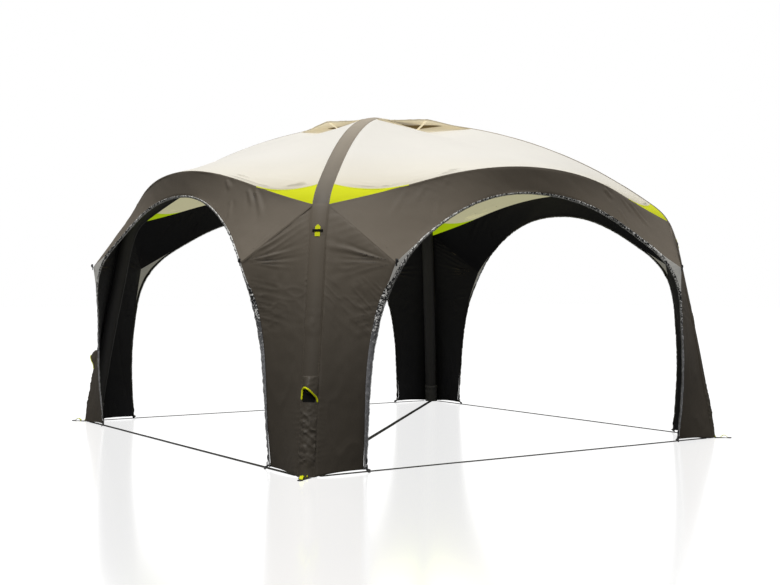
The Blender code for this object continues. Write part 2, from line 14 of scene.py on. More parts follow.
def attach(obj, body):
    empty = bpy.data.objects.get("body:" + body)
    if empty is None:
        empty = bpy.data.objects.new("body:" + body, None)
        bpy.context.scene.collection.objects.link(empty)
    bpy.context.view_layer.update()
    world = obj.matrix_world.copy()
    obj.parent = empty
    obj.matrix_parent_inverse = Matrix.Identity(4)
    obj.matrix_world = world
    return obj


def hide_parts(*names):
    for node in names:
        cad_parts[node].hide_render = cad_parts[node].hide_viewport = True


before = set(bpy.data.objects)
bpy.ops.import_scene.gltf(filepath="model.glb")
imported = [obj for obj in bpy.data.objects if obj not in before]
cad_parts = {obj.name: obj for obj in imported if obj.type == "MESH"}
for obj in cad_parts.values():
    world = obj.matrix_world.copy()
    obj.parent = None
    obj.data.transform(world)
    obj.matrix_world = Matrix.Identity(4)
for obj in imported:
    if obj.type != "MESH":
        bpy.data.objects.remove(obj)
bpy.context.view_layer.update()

# The footprint, beams and sleeves, as in the solids
SIDE_HALF = 1.95
BEAM_RADIUS = 0.060
BAND_HALF = 0.058
BEAM_INSET = 0.0653
FOOT_INSET = 0.080
HEM_Z = 0.004
CROWN_LINE = (
    (0.0, 2.647),
    (0.9, 2.543),
    (1.7, 2.252),
    (2.2, 1.949),
    (2.346, 1.822),
    (2.411, 1.698),
    (2.489, 1.393),
    (2.608, 0.833),
    (2.760, 0.0),
)
TOP = CROWN_LINE[0][1]
BAND_CROWN = 0.011
FOOT_CROWN = 0.030
TIP_Z = 1.780
RIDGE_LINE = ((0.53, 2.512), (1.2, 2.330), (1.5, 2.235), (1.75, 2.148))
EAVE_SEAM = ((0.0, -0.012, 2.100), (0.4, -0.022, 2.075), (0.8, -0.072, 2.000), (1.2, -0.150, 1.885))
DOOR_HEAD = (
    (0.0, 0.000, 1.915),
    (0.4, 0.010, 1.872),
    (0.8, 0.038, 1.722),
    (1.1, 0.085, 1.545),
    (1.359, 0.157, 1.383),
)
FLAP_EDGE = (
    (0.0, 0.445, 0.000),
    (0.35, 0.438, 0.035),
    (0.7, 0.452, 0.055),
    (1.05, 0.509, 0.085),
    (1.383, 0.591, 0.157),
)
LIME_SHARE = 0.65
LIME_BAND_LENGTH = 0.21
LIME_SAG = 0.0157
CAP_HALF = 0.53
CAP_MIDDLE = 0.60

# Door trim, vent hoods, boots, valves and pegs, as in the solids
TRIM_WIDTH = 0.026
GUSSET_WIDTH = 0.062
GUSSET_REACH = 0.36
TRIM_TURN = 0.45
TRIM_LEAN = 0.3
HOOD_CLEAR = 0.0046
HOOD_LIFT = 0.104
HOOD_RISE = 3.0
HOOD_HEM = 0.009
PROP_ROW = 0.72
PROP_HEAD_ROW = 0.95
BOOT_HEIGHT = 0.175
BOOT_RADIUS = 0.062
CUFF_RADIUS = 0.066
VALVE_Z = (0.645, 0.476)
VALVE_HALF = 0.053
VALVE_SHIFT = 0.004
VALVE_LIFT = 0.038
VALVE_RISE = 0.5
VALVE_FALL = 1.5
VALVE_GAPE = {"front_left": 1.3}
VALVE_CLEAR = 0.0031
VALVE_COLUMNS = (-1.0, -0.93, -0.75, -0.55, -0.3, 0.08, 0.45, 0.85, 0.95, 1.0)
VALVE_MOUTH = (0.0, 0.078, 0.088, 0.091, 0.088, 0.077, 0.059, 0.035, 0.022, 0.0)
FOOT_OUT = 2.760
TAB_TUCK = 0.008
TAB_LENGTH = 0.105
TAB_WIDE = 0.045
TAB_NARROW = 0.012
RING_RADIUS = 0.016
RING_WIRE = 0.003

# Cloth, webbing and the tape over each seam
CLOTH = 0.0016
WEBBING = 0.0026
WEBBING_WIDTH = 0.038
TAPE = 0.0007
TAPE_WIDTH = 0.010

SIDES = ("right", "back", "left", "front")
CORNERS = ("back_right", "back_left", "front_left", "front_right")
ROOT_TWO = math.sqrt(2)
UP = np.array((0.0, 0.0, 1.0))
AHEAD = np.array((1.0, 0.0, 0.0))
OUT = np.array((1.0, 1.0, 0.0)) / ROOT_TWO
CROSS = np.array((-1.0, 1.0, 0.0)) / ROOT_TWO
FLIP = np.array((1.0, -1.0, 1.0))


# Curves


def spline(stations, values):
    """A natural cubic curve through values at rising stations, as a function of an array of stations."""
    x = np.array(stations, float)
    y = np.array(values, float).reshape(len(x), -1)
    step = np.diff(x)
    count = len(x)
    system = np.eye(count)
    target = np.zeros_like(y)
    for i in range(1, count - 1):
        system[i, i - 1 : i + 2] = (step[i - 1], 2 * (step[i - 1] + step[i]), step[i])
        target[i] = 6 * ((y[i + 1] - y[i]) / step[i] - (y[i] - y[i - 1]) / step[i - 1])
    bend = np.linalg.solve(system, target)

    def at(where):
        where = np.asarray(where, float)
        i = np.clip(np.searchsorted(x, where) - 1, 0, count - 2)
        size = step[i][..., None]
        left = (x[i + 1] - where)[..., None]
        right = (where - x[i])[..., None]
        cubic = (bend[i] * left**3 + bend[i + 1] * right**3) / (6 * size)
        start = (y[i] / size - bend[i] * size / 6) * left
        return cubic + start + (y[i + 1] / size - bend[i + 1] * size / 6) * right

    return at


def even_spline(rows):
    """A curve that mirrors about station 0, from rows of station and values."""
    other = [(-row[0], *row[1:]) for row in reversed(rows) if row[0] > 0]
    whole = other + list(rows)
    return spline([row[0] for row in whole], [row[1:] for row in whole])


def chord_spline(points):
    """A curve through points, by share of the summed distance between them."""
    points = np.array(points, float)
    steps = np.linalg.norm(np.diff(points, axis=0), axis=1)
    along = np.concatenate([[0], np.cumsum(steps)])
    return spline(along / along[-1], points)


def smooth(x):
    """0 below 0 and 1 above 1, with soft ends."""
    x = np.clip(x, 0, 1)
    return x * x * (3 - 2 * x)


def from_diagonal(out, cross, z):
    """Points by the back right diagonal: out from the centre, and cross towards the back."""
    out, cross, z = np.broadcast_arrays(out, cross, z)
    return np.stack([(out - cross) / ROOT_TWO, (out + cross) / ROOT_TWO, z], axis=-1)


def turned(points, quarter):
    """Points moved about the middle by a number of quarter turns."""
    angle = quarter * math.pi / 2
    c, s = round(math.cos(angle)), round(math.sin(angle))
    return np.asarray(points, float) @ np.array(((c, -s, 0), (s, c, 0), (0, 0, 1)), float).T


# The sleeve's crown line in its diagonal plane, where share 0.5 is the top and 1 the foot
CROWN_AT = chord_spline([(-out, z) for out, z in reversed(CROWN_LINE)] + list(CROWN_LINE[1:]))
CROWN_SHARES = np.linspace(0.5, 1.0, 800)
CROWN_POINTS = CROWN_AT(CROWN_SHARES)
CROWN_ALONG = np.concatenate([[0], np.cumsum(np.linalg.norm(np.diff(CROWN_POINTS, axis=0), axis=1))])
CROWN_TIP = float(np.interp(-TIP_Z, -CROWN_POINTS[:, 1], CROWN_SHARES))


def crown_at_height(z):
    """The share along the crown line at a height."""
    return np.interp(-np.asarray(z), -CROWN_POINTS[:, 1], CROWN_SHARES)


def crown_at_out(out):
    """The share along the crown line at a distance out from the middle."""
    return float(np.interp(out, CROWN_POINTS[:, 0], CROWN_SHARES))


def crown_above(share, length):
    """The share that lies a length further up the crown line."""
    along = np.interp(share, CROWN_SHARES, CROWN_ALONG) - length
    return float(np.interp(along, CROWN_ALONG, CROWN_SHARES))


def crown_normal(share):
    """The crown line's outward direction in its diagonal plane."""
    tiny = 1e-4
    run = CROWN_AT(np.minimum(share + tiny, 1)) - CROWN_AT(np.maximum(share - tiny, 0))
    normal = np.stack([-run[..., 1], run[..., 0]], axis=-1)
    return normal / np.linalg.norm(normal, axis=-1, keepdims=True)


def footward(share):
    """0 on the roof and 1 at the foot."""
    return np.maximum(0.0, (np.abs(share - 0.5) + 0.5 - CROWN_TIP) / (1 - CROWN_TIP))


def band_point(share, cross):
    """Points of the sleeve's surface, at a distance across from its crown."""
    share, cross = np.broadcast_arrays(np.asarray(share, float), np.asarray(cross, float))
    depth = BAND_CROWN + (FOOT_CROWN - BAND_CROWN) * footward(share)
    place = CROWN_AT(share) - crown_normal(share) * (depth * (cross / BAND_HALF) ** 2)[..., None]
    return from_diagonal(place[..., 0], cross, np.maximum(place[..., 1], HEM_Z))


SHARE_TOP = crown_at_out(BAND_HALF)
SHARE_CAP = crown_at_out(CAP_HALF * ROOT_TWO)
SHARE_LIME = crown_above(CROWN_TIP, LIME_BAND_LENGTH)
LIME_TIP = band_point(CROWN_TIP, -BAND_HALF)
ROOF_TOP = band_point(SHARE_TOP, -BAND_HALF)
HEAD_AT = even_spline(DOOR_HEAD)
EAVE_AT = even_spline(EAVE_SEAM + ((LIME_TIP[1], LIME_TIP[0] - SIDE_HALF, LIME_TIP[2]),))
FLAP_AT = spline([row[0] for row in FLAP_EDGE], [row[1:] for row in FLAP_EDGE])
EAVE_MIDDLE = (SIDE_HALF + EAVE_SEAM[0][1], EAVE_SEAM[0][2])
RIDGE_AT = chord_spline(((ROOF_TOP[0], ROOF_TOP[2]),) + RIDGE_LINE + (EAVE_MIDDLE,))


def eave_point(share):
    """The seam between roof and arch, from a side's middle (0) to the lime tip (1 or -1)."""
    along = share * LIME_TIP[1]
    place = EAVE_AT(along)
    return np.stack([SIDE_HALF + place[..., 0], along, place[..., 1]], axis=-1)


def head_point(share):
    """The doorway's head, from a side's middle (0) to the shoulder (1 or -1)."""
    along = share * DOOR_HEAD[-1][0]
    place = HEAD_AT(along)
    return np.stack([SIDE_HALF + place[..., 0], along, place[..., 1]], axis=-1)


def flap_point(share):
    """The leg flap's free edge at the right side's back corner, from the ground (0) to the shoulder (1)."""
    z = np.asarray(share, float) * FLAP_EDGE[-1][0]
    place = FLAP_AT(z)
    return np.stack([SIDE_HALF + place[..., 1], SIDE_HALF - place[..., 0], np.maximum(z, HEM_Z)], axis=-1)


SHOULDER = flap_point(1.0)


def crown_share(down):
    """The share along the crown line, from the roof's top (0) to the eave (1)."""
    return SHARE_TOP + down * (CROWN_TIP - SHARE_TOP)


def roof_point(share, down):
    """Points of the right side's roof: share from its middle to the band, down from top to eave."""
    share, down = np.broadcast_arrays(np.asarray(share, float), np.asarray(down, float))
    ridge = RIDGE_AT(down)
    middle = np.stack([ridge[..., 0], np.zeros_like(share), ridge[..., 1]], axis=-1)
    size = np.abs(share)[..., None]
    facing = np.where(share[..., None] < 0, FLIP, 1)
    seam = band_point(crown_share(down), -BAND_HALF) * facing
    bow = eave_point(share) - (1 - size) * eave_point(0.0) - size * eave_point(1.0) * facing
    return (1 - size) * middle + size * seam + bow * down[..., None] ** 3


RIDGE_DOWNS = np.linspace(0, 1, 400)
CAP_DOWN_RIDGE = float(np.interp(CAP_MIDDLE, RIDGE_AT(RIDGE_DOWNS)[:, 0], RIDGE_DOWNS))
CAP_DOWN_BAND = (SHARE_CAP - SHARE_TOP) / (CROWN_TIP - SHARE_TOP)
LIME_DOWN = (SHARE_LIME - SHARE_TOP) / (CROWN_TIP - SHARE_TOP)


def cap_down(share):
    """How far down the roof the vent cap's edge lies."""
    return CAP_DOWN_RIDGE + (CAP_DOWN_BAND - CAP_DOWN_RIDGE) * np.abs(share)


def lime_down(share):
    """How far down the roof the cream panel reaches: to the eave, or sagging a little over the lime."""
    fade = np.minimum(1.0, (1 - np.abs(share)) / (1 - LIME_SHARE))
    return LIME_DOWN + (1 - LIME_DOWN) * fade + 4 * LIME_SAG * fade * (1 - fade)


# Noise and folds

NOISE_CELLS = 61

# Folds from a shoulder: rise and half width in degrees, reach and strength. The two flaps of a leg differ.
NEAR_FOLDS = ((12, 2.4, 0.36, 1.3), (6, 1.9, 0.32, 1.2), (0, 2.0, 0.26, 1.0), (-6, 2.4, 0.30, 0.6))
FAR_FOLDS = (
    (13, 2.6, 0.40, 1.0),
    (7, 1.9, 0.28, 0.8),
    (1, 2.3, 0.36, 1.0),
    (-6, 2.6, 0.36, 0.9),
    (-15, 3.4, 0.28, 0.5),
)
ARCH_FAN = ((9, 3.0, 0.24, 0.7), (20, 3.6, 0.16, 0.4))
ARCH_FAN_SHARE = 0.8
FOLD_STEEPNESS = 1.05
FAN_FULL = 0.22
FAN_ROOT = 0.015

# What differs between the two flaps of a leg
FLAPS = (
    {"folds": NEAR_FOLDS, "pleat_lean": 0.36, "pleat_depth": 0.011, "drag_lean": -8},
    {"folds": FAR_FOLDS, "pleat_lean": -0.20, "pleat_depth": 0.003, "drag_lean": 38},
)
TIP_PLEATS = (0.042, 0.2)

# Puckers beside a seam: how far apart, how far they reach and how high
FLAP_EDGE_PUCKERS = (0.020, 0.16, 0.0042)
FLAP_SEAM_PUCKERS = (0.034, 0.045, 0.0034)
SLEEVE_PUCKERS = (0.030, 0.020, 0.0030)
ARCH_EAVE_PUCKERS = (0.070, 0.070, 0.0040)
ARCH_HEAD_PUCKERS = (0.055, 0.025, 0.0024)
ROOF_PUCKERS = (0.050, 0.035, 0.0024)
LIME_PUCKERS = (0.035, 0.05, 0.0030)
BAND_PUCKERS = (0.028, 0.016, 0.0018)
PUCKER_ROOT = 0.008

# Creases and soft swells: how high, how long and how wide
FLAP_DRAG = (0.0030, 0.13, 0.040)
FLAP_SIDE_PULL = (0.0030, 0.18, 0.035)
FLAP_DRAPES = (0.0034, 0.10, 0.30)
FLAP_SWELLS = (0.0060, 0.34, 0.20)
FLAP_RIPPLES = (0.0013, 0.06, 0.05)
FOOT_CRUMPLE = 0.0052
FOOT_CREASES = (FOOT_CRUMPLE, 0.06, 0.016)
FOOT_CROSSINGS = (FOOT_CRUMPLE, 0.06, 0.018)
SLEEVE_CREASES = (0.0035, 0.07, 0.045)
ARCH_SWELLS = (0.0045, 0.34, 0.2)
ARCH_RIPPLES = (0.0012, 0.09, 0.07)
ROOF_DRAG = (0.0020, 0.5, 0.09)
ROOF_SWELLS = (0.0045, 0.42, 0.5)
ROOF_RIPPLES = (0.0007, 0.10, 0.12)
LIME_SWELLS = (0.002, 0.12, 0.08)
BAND_RIPPLES = (0.0012, 0.10, 0.05)
HOOD_SWELLS = (0.0022, 0.10, 0.16)
HOOD_CREASES = (0.0024, 0.16, 0.05)
GUSSET_CREASES = (0.0015, 0.02, 0.05)
VALVE_CREASES = (0.0032, 0.06, 0.016)
VALVE_SWELLS = (0.002, 0.03, 0.04)
SEAM_DIP = (0.0012, 0.004)
EDGE_CELLS = 2.5

SLEEVE_HEM_Z = 0.914
SLEEVE_HEM_STEP = (0.0026, 0.006)

# Where folds start, how far they fade in, where they end and how far they fade out
PUCKER_ZONE = (-0.55, 0.3, 0.0, 0.04)
DRAG_ZONE = (0.80, 0.15, 1.32, 0.10)
DRAPE_ZONE = (0.0, 0.1, 0.95, 0.3)
CRUMPLE_ZONE = (0.03, 0.10, 0.52, 0.16)
CREASE_ZONE = (SLEEVE_HEM_Z, 0.01, 1.20, 0.2)
SAG_ZONE = (0.30, 0.22, 0.98, 0.10)
SAG_DEPTH = 0.0230
SAG_WAVE = 0.040

# Short folds of an arch: where each starts and ends, as shares along the side and down the panel
ARCH_FOLDS = (
    ((0.66, 0.06), (0.86, 0.50)),
    ((0.60, 0.12), (0.72, 0.42)),
    ((0.59, 0.55), (0.67, 0.92)),
    ((0.46, 0.10), (0.53, 0.34)),
)
ARCH_FOLD_WIDTH = (0.012, 0.022)
ARCH_FOLD_DEPTH = {1: 0.010, -1: 0.0025}


def noise(x, y, seed):
    """Smooth noise between -1 and 1, with a bump in about each unit square."""
    table = np.random.default_rng(seed).uniform(-1, 1, (NOISE_CELLS, NOISE_CELLS))
    x, y = np.broadcast_arrays(np.asarray(x, float), np.asarray(y, float))
    column, row = np.floor(x).astype(int), np.floor(y).astype(int)
    across, up = smooth(x - column), smooth(y - row)

    def corner(i, j):
        return table[(column + i) % NOISE_CELLS, (row + j) % NOISE_CELLS]

    low = corner(0, 0) * (1 - across) + corner(1, 0) * across
    high = corner(0, 1) * (1 - across) + corner(1, 1) * across
    return low * (1 - up) + high * up


def streaks(first, second, long, short, lean, seed):
    """Noise drawn out along a line, which leans by degrees from the first axis towards the second."""
    c, s = math.cos(math.radians(lean)), math.sin(math.radians(lean))
    return noise((first * c + second * s) / long, (second * c - first * s) / short, seed)


def ridge(t):
    """A fold's cross-section: a rounded crest between two shallow valleys."""
    return np.exp(-np.abs(t) ** 1.6) - 0.5 * np.exp(-((np.abs(t) - 1.9) ** 2))


def fan(along, rise, folds, seed):
    """The height of folds that spread from a shoulder, from their distances along and above it."""
    rng = np.random.default_rng(seed)
    radius = np.hypot(along, rise)
    angle = np.degrees(np.arctan2(rise, along))
    height = np.zeros_like(radius)
    for at, half, reach, strength in folds:
        at += rng.uniform(-1.5, 1.5)
        reach *= rng.uniform(0.85, 1.1)
        waver = 0.5 * half * noise(radius / 0.08, at, seed)
        size = strength * FOLD_STEEPNESS * np.minimum(radius, FAN_FULL) * math.radians(half)
        height += size * ridge((angle - at - waver) / half) * np.exp(-((radius / reach) ** 3))
    return height * smooth(radius / FAN_ROOT)


def crease(points, normals, start, end, width, depth, bow=0.0):
    """The height of one fold, from a pinched start to a wide faint end. Width holds both ends'."""
    start, end = np.asarray(start, float), np.asarray(end, float)
    length = np.linalg.norm(end - start)
    run = (end - start) / length
    offset = points - start
    share = offset @ run / length
    sideways = np.cross(normals, run)
    sideways /= np.maximum(np.linalg.norm(sideways, axis=-1, keepdims=True), 1e-9)
    apart = np.einsum("...i,...i", offset, sideways) - bow * 4 * share * (1 - share)
    broad = width[0] + (width[1] - width[0]) * np.clip(share, 0, 1)
    level = np.einsum("...i,...i", offset, normals)
    near = np.exp(-((level / 0.12) ** 2))
    return depth * ridge(apart / broad) * smooth(share / 0.15) * smooth((1 - share) / 0.5) * near


def pleats(along, apart, wave, reach, seed, least=0.35):
    """Folds that lie side by side, from 0 to 1 high: along and apart are distances across and along them."""
    stretch = along / wave + 0.8 * noise(along / (3 * wave), apart / (2 * reach), seed)
    ripple = 1 - np.abs(np.sin(math.pi * stretch)) ** 0.8
    return ripple * np.clip(least + 0.9 * noise(along / (5 * wave), apart / (3 * reach), seed + 1), 0, 1)


def gathers(along, apart, wave, reach, depth, seed):
    """Small puckers that run in from a seam: along and apart are distances along it and from it."""
    height = depth * pleats(along, apart, wave, reach, seed)
    return height * np.exp(-apart / reach) * smooth(apart / PUCKER_ROOT)


def ridged(value):
    """Sharp creases along the lines where noise passes through 0."""
    return np.clip(1 - 2.2 * np.abs(value), 0, 1) ** 1.5


def wrinkles(first, second, kind, lean, seed):
    """Sharp creases along a line that leans by degrees. Kind holds their height, length and width."""
    depth, long, short = kind
    return depth * ridged(streaks(first, second, long, short, lean, seed))


def swells(first, second, kind, seed, shift=0):
    """Soft rises and dips. Kind holds their height and their reach along each axis."""
    depth, long, short = kind
    return depth * noise(first / long, second / short + shift, seed)


def zone(value, start, fade_in, end, fade_out):
    """1 between two values and 0 outside them, with soft ends."""
    return smooth((value - start) / fade_in) * smooth((end - value) / fade_out)


def seam_dip(apart):
    """The shallow groove that stitching pulls into cloth."""
    depth, width = SEAM_DIP
    return depth * np.exp(-((apart / width) ** 2))


def grid_normals(points):
    """The unit normals of a grid of points, facing away from the tent's inside."""
    down = np.gradient(points, axis=0)
    across = np.gradient(points, axis=1)
    normals = np.cross(down, across)
    normals /= np.maximum(np.linalg.norm(normals, axis=-1, keepdims=True), 1e-9)
    outward = (points - np.array((0, 0, 0.8))).reshape(-1, 3)
    if np.einsum("ij,ij->i", normals.reshape(-1, 3), outward).mean() < 0:
        normals = -normals
    return normals


def lengths_from(points, axis):
    """The distance along a grid's lines from its first point."""
    steps = np.linalg.norm(np.diff(points, axis=axis), axis=-1)
    start = np.zeros_like(np.take(steps, [0], axis=axis))
    return np.concatenate([start, np.cumsum(steps, axis=axis)], axis=axis)


def edge_fade(shape, reach):
    """0 on a grid's outline and 1 from a number of cells inwards, with soft ends."""
    rows = np.minimum(np.arange(shape[0]), np.arange(shape[0])[::-1])[:, None]
    columns = np.minimum(np.arange(shape[1]), np.arange(shape[1])[::-1])[None, :]
    return smooth(rows / reach) * smooth(columns / reach)


# Meshes

# The materials by name, filled by make_materials
LOOKS = {}
RING_STEPS = 24
WIRE_SIDES = 10
BEAD_SIDES = 12


def mesh_object(name, vertices, faces, looks, kinds=None, sharp=40, closed=True, cut=None):
    """A mesh of quads as an object, with a look for each face and, if given, flat coordinates in metres."""
    vertices = np.asarray(vertices, float).reshape(-1, 3)
    faces = np.asarray(faces, int)
    corners = vertices[faces]
    first = np.cross(corners[:, 1] - corners[:, 0], corners[:, 2] - corners[:, 0])
    second = np.cross(corners[:, 2] - corners[:, 0], corners[:, 3] - corners[:, 0])
    if closed and np.einsum("ij,ij", first + second, corners.mean(axis=1) - vertices.mean(axis=0)) < 0:
        faces = faces[:, ::-1]
    count, sides = faces.shape
    mesh = bpy.data.meshes.new(name)
    mesh.vertices.add(len(vertices))
    mesh.vertices.foreach_set("co", vertices.ravel())
    mesh.loops.add(faces.size)
    mesh.loops.foreach_set("vertex_index", faces.ravel())
    mesh.polygons.add(count)
    mesh.polygons.foreach_set("loop_start", np.arange(0, faces.size, sides))
    for look in looks:
        mesh.materials.append(LOOKS[look])
    if kinds is not None:
        mesh.polygons.foreach_set("material_index", np.asarray(kinds, int))
    mesh.update(calc_edges=True)
    if cut is not None:
        flat = mesh.uv_layers.new(name="cut")
        flat.data.foreach_set("uv", np.asarray(cut, float)[faces.ravel()].ravel())
    mesh.validate()
    mesh.shade_smooth()
    mesh.set_sharp_from_angle(angle=math.radians(sharp))
    obj = bpy.data.objects.new(name, mesh)
    bpy.context.scene.collection.objects.link(obj)
    return obj


def grid_quads(rows, columns, wrap=False):
    """The quads of a grid, as indices. With wrap, its last column joins its first."""
    row = np.arange(rows - 1)[:, None]
    column = np.arange(columns if wrap else columns - 1)[None, :]
    after = (column + 1) % columns
    corners = (row * columns + column, (row + 1) * columns + column)
    others = ((row + 1) * columns + after, row * columns + after)
    return np.stack([corners[0], corners[1], others[0], others[1]], axis=-1).reshape(-1, 4)


def rim_of(rows, columns):
    """The indices round a grid's edge, in the order in which its quads turn."""
    ring = [i * columns for i in range(rows)]
    ring += [(rows - 1) * columns + j for j in range(1, columns)]
    ring += [i * columns + columns - 1 for i in range(rows - 2, -1, -1)]
    ring += list(range(columns - 2, 0, -1))
    return np.array(ring)


def shell(points, normals, thickness):
    """The vertices and quads of a closed sheet inwards from a grid: outer face, inner face, rim."""
    rows, columns = points.shape[:2]
    under = rows * columns
    quads = grid_quads(rows, columns)
    ring = rim_of(rows, columns)
    after = np.roll(ring, -1)
    rim = np.stack([after, ring, ring + under, after + under], axis=-1)
    faces = np.concatenate([quads, quads[:, ::-1] + under, rim])
    vertices = np.concatenate([points.reshape(-1, 3), (points - normals * thickness).reshape(-1, 3)])
    return vertices, faces, len(quads)


def place(obj, slot, *nodes):
    """Fixes a piece to the frame and hides the nodes it stands for; its slot is not used."""
    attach(obj, "root")
    if nodes:
        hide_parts(*nodes)


def cloth(name, points, quarter, looks, normals=None, net=None):
    """A closed sheet over a grid of outer points, with a look for each side. Net marks see-through cells."""
    if normals is None:
        normals = grid_normals(points)
    vertices, faces, count = shell(points, normals, CLOTH)
    kinds = np.zeros(len(faces), int)
    kinds[count : 2 * count] = 1
    if net is not None:
        kinds[: 2 * count] = np.tile(net.reshape(-1), 2)
    return mesh_object(name, turned(vertices, quarter), faces, looks, kinds)


def panel(name, quarter, grid, height, looks, slot, nodes=(), normals=None, net=None):
    """A sewn panel: folds raised on a smooth grid, made into cloth and fixed to the frame."""
    outward = grid_normals(grid) if normals is None else normals
    points = grid + outward * np.asarray(height)[..., None]
    points[..., 2] = np.maximum(points[..., 2], HEM_Z)
    obj = cloth(name, points, quarter, looks, normals, net)
    place(obj, slot, *nodes)
    return points


def piece(name, quarter, parts, slot, *nodes, sharp=40, cut=None):
    """A piece joined from parts, each with its look and its mesh, kept off the ground, turned and placed."""
    looks = list(dict.fromkeys(look for look, _ in parts))
    points, faces, kinds = joined([made for _, made in parts])
    points[:, 2] = np.maximum(points[:, 2], 0.0)
    order = np.array([looks.index(look) for look, _ in parts])
    obj = mesh_object(name, turned(points, quarter), faces, looks, order[kinds], sharp=sharp, cut=cut)
    place(obj, slot, *nodes)
    return obj


def frames_along(path, up_hint):
    """Unit directions along a path, sideways and up from it, at each of its points."""
    run = np.gradient(path, axis=0)
    run /= np.linalg.norm(run, axis=1, keepdims=True)
    side = np.cross(run, up_hint)
    side /= np.linalg.norm(side, axis=1, keepdims=True)
    return run, side, np.cross(side, run)


def swept(path, up_hint, outline):
    """Vertices and quads of an outline carried along a path. The outline holds (side, up) points."""
    path = np.asarray(path, float)
    up_hint = np.broadcast_to(np.asarray(up_hint, float), path.shape)
    _, side, up = frames_along(path, up_hint)
    outline = np.asarray(outline, float)
    if outline.ndim == 2:
        outline = np.broadcast_to(outline, (len(path), *outline.shape))
    rings = path[:, None] + side[:, None] * outline[..., :1] + up[:, None] * outline[..., 1:]
    rows, columns = rings.shape[:2]
    ends = [end_quads(columns, 0), end_quads(columns, rows - 1)[:, ::-1]]
    return rings.reshape(-1, 3), np.concatenate([grid_quads(rows, columns, wrap=True), *ends])


def end_quads(columns, row):
    """Quads that close the end of a swept tube with an even number of sides."""
    base = row * columns
    first = base + np.arange(columns // 2 - 1)
    last = base + columns - 1 - np.arange(columns // 2 - 1)
    return np.stack([first, first + 1, last - 1, last], axis=-1)


def circle_outline(radius, sides):
    """A circle of (side, up) points."""
    turns = np.arange(sides) * 2 * math.pi / sides
    return np.stack([radius * np.cos(turns), radius * np.sin(turns)], axis=-1)


def strap_outline(width, thickness):
    """A webbing's or tape's cross-section, with rounded edges, from its underside up."""
    half, edge = width / 2, thickness * 0.3
    under = np.array(((-half, edge), (-half + edge, 0), (half - edge, 0), (half, edge)))
    return np.concatenate([under, (0, thickness) + under[::-1] * (1, -1)])


def torus(middle, first, second, radius, wire):
    """A ring's vertices and quads, in the plane of two directions."""
    first, second = np.asarray(first, float), np.asarray(second, float)
    turns = circle_outline(1, RING_STEPS)
    outward = turns[:, :1] * first + turns[:, 1:] * second
    around = circle_outline(wire, WIRE_SIDES)
    axle = np.cross(first, second)
    rings = middle + outward[:, None] * (radius + around[:, :1]) + axle * around[None, :, 1:]
    quads = grid_quads(RING_STEPS + 1, WIRE_SIDES, wrap=True) % (RING_STEPS * WIRE_SIDES)
    return rings.reshape(-1, 3), quads


def bead(start, end, radius, hint):
    """A rounded knob between two points."""
    share = np.linspace(0.02, 0.98, 13)
    path = np.asarray(start, float) + (np.asarray(end, float) - start) * share[:, None]
    size = radius * np.sqrt(1 - (2 * share - 1) ** 2)
    return swept(path, hint, circle_outline(1, BEAD_SIDES)[None] * size[:, None, None])


def joined(parts):
    """One set of vertices and faces from several, and which part each face belongs to."""
    vertices, faces, kinds, start = [], [], [], 0
    for i, (points, quads) in enumerate(parts):
        vertices.append(np.asarray(points, float).reshape(-1, 3))
        faces.append(np.asarray(quads, int) + start)
        kinds.append(np.full(len(quads), i))
        start += len(vertices[-1])
    return np.concatenate(vertices), np.concatenate(faces), np.concatenate(kinds)


def resampled(path, step):
    """Points at an even spacing along a path."""
    path = np.asarray(path, float)
    along = np.concatenate([[0], np.cumsum(np.linalg.norm(np.diff(path, axis=0), axis=1))])
    count = max(2, round(along[-1] / step) + 1)
    wanted = np.linspace(0, along[-1], count)
    return np.stack([np.interp(wanted, along, path[:, i]) for i in range(3)], axis=-1)


# Materials

DARK_CLOTH = (0.145, 0.119, 0.087)
DARK_TAPE = (0.136, 0.112, 0.082)
BAND_TAPE = (0.370, 0.315, 0.240)
# The zip film: the black zip beneath, and white specks, a grey lower part and a white foot that are painted
# glints and reflections
FILM_DARK = (0.014, 0.014, 0.013)
FILM_GREY = (0.09, 0.09, 0.09)
FILM_GLINT = (0.95, 0.94, 0.90)
FILM_LOW_REFLECTION = (0.24, 0.24, 0.25)
FILM_FOOT_REFLECTION = (0.75, 0.75, 0.74)
STITCHES_PER_METRE = 220.0
STITCH_HALF = 0.0004

# How the canopy's colours change with height, as painted light and shade: the legs darker towards the ground,
# the arches darker and the cream darker and yellower under the eaves, and the bands lighter towards the top
LEG_SHADE = ((0.10, 0.40), (0.55, 0.42), (1.10, 0.62), (1.65, 1.00))
ARCH_SHADE = ((1.45, 1.00), (1.75, 0.98), (2.05, 0.72))
BAND_SHADE = ((1.78, 0.30), (1.92, 0.38), (2.30, 0.66), (2.60, 1.00))
CREAM_SHADE = ((1.90, (0.90, 0.86, 0.74)), (2.00, (0.97, 0.95, 0.89)), (2.20, (1.0, 1.0, 1.0)))


def new_material(name, colour, roughness, gloss=0.5):
    """A plain material of one colour."""
    made = bpy.data.materials.new(name)
    made.use_nodes = True
    shader = made.node_tree.nodes["Principled BSDF"]
    shader.inputs["Base Color"].default_value = (*colour, 1.0)
    shader.inputs["Roughness"].default_value = roughness
    shader.inputs["Specular IOR Level"].default_value = gloss
    return made


def axis_of(tree, vector, axis):
    """One component of a vector socket."""
    split = tree.nodes.new("ShaderNodeSeparateXYZ")
    tree.links.new(vector, split.inputs[0])
    return split.outputs[axis]


def texture(tree, kind, coordinates, scale, **settings):
    """A texture node of a kind, laid out by a coordinate socket."""
    node = tree.nodes.new(kind)
    node.inputs["Scale"].default_value = scale
    for name, value in settings.items():
        node.inputs[name].default_value = value
    tree.links.new(coordinates, node.inputs["Vector"])
    return node


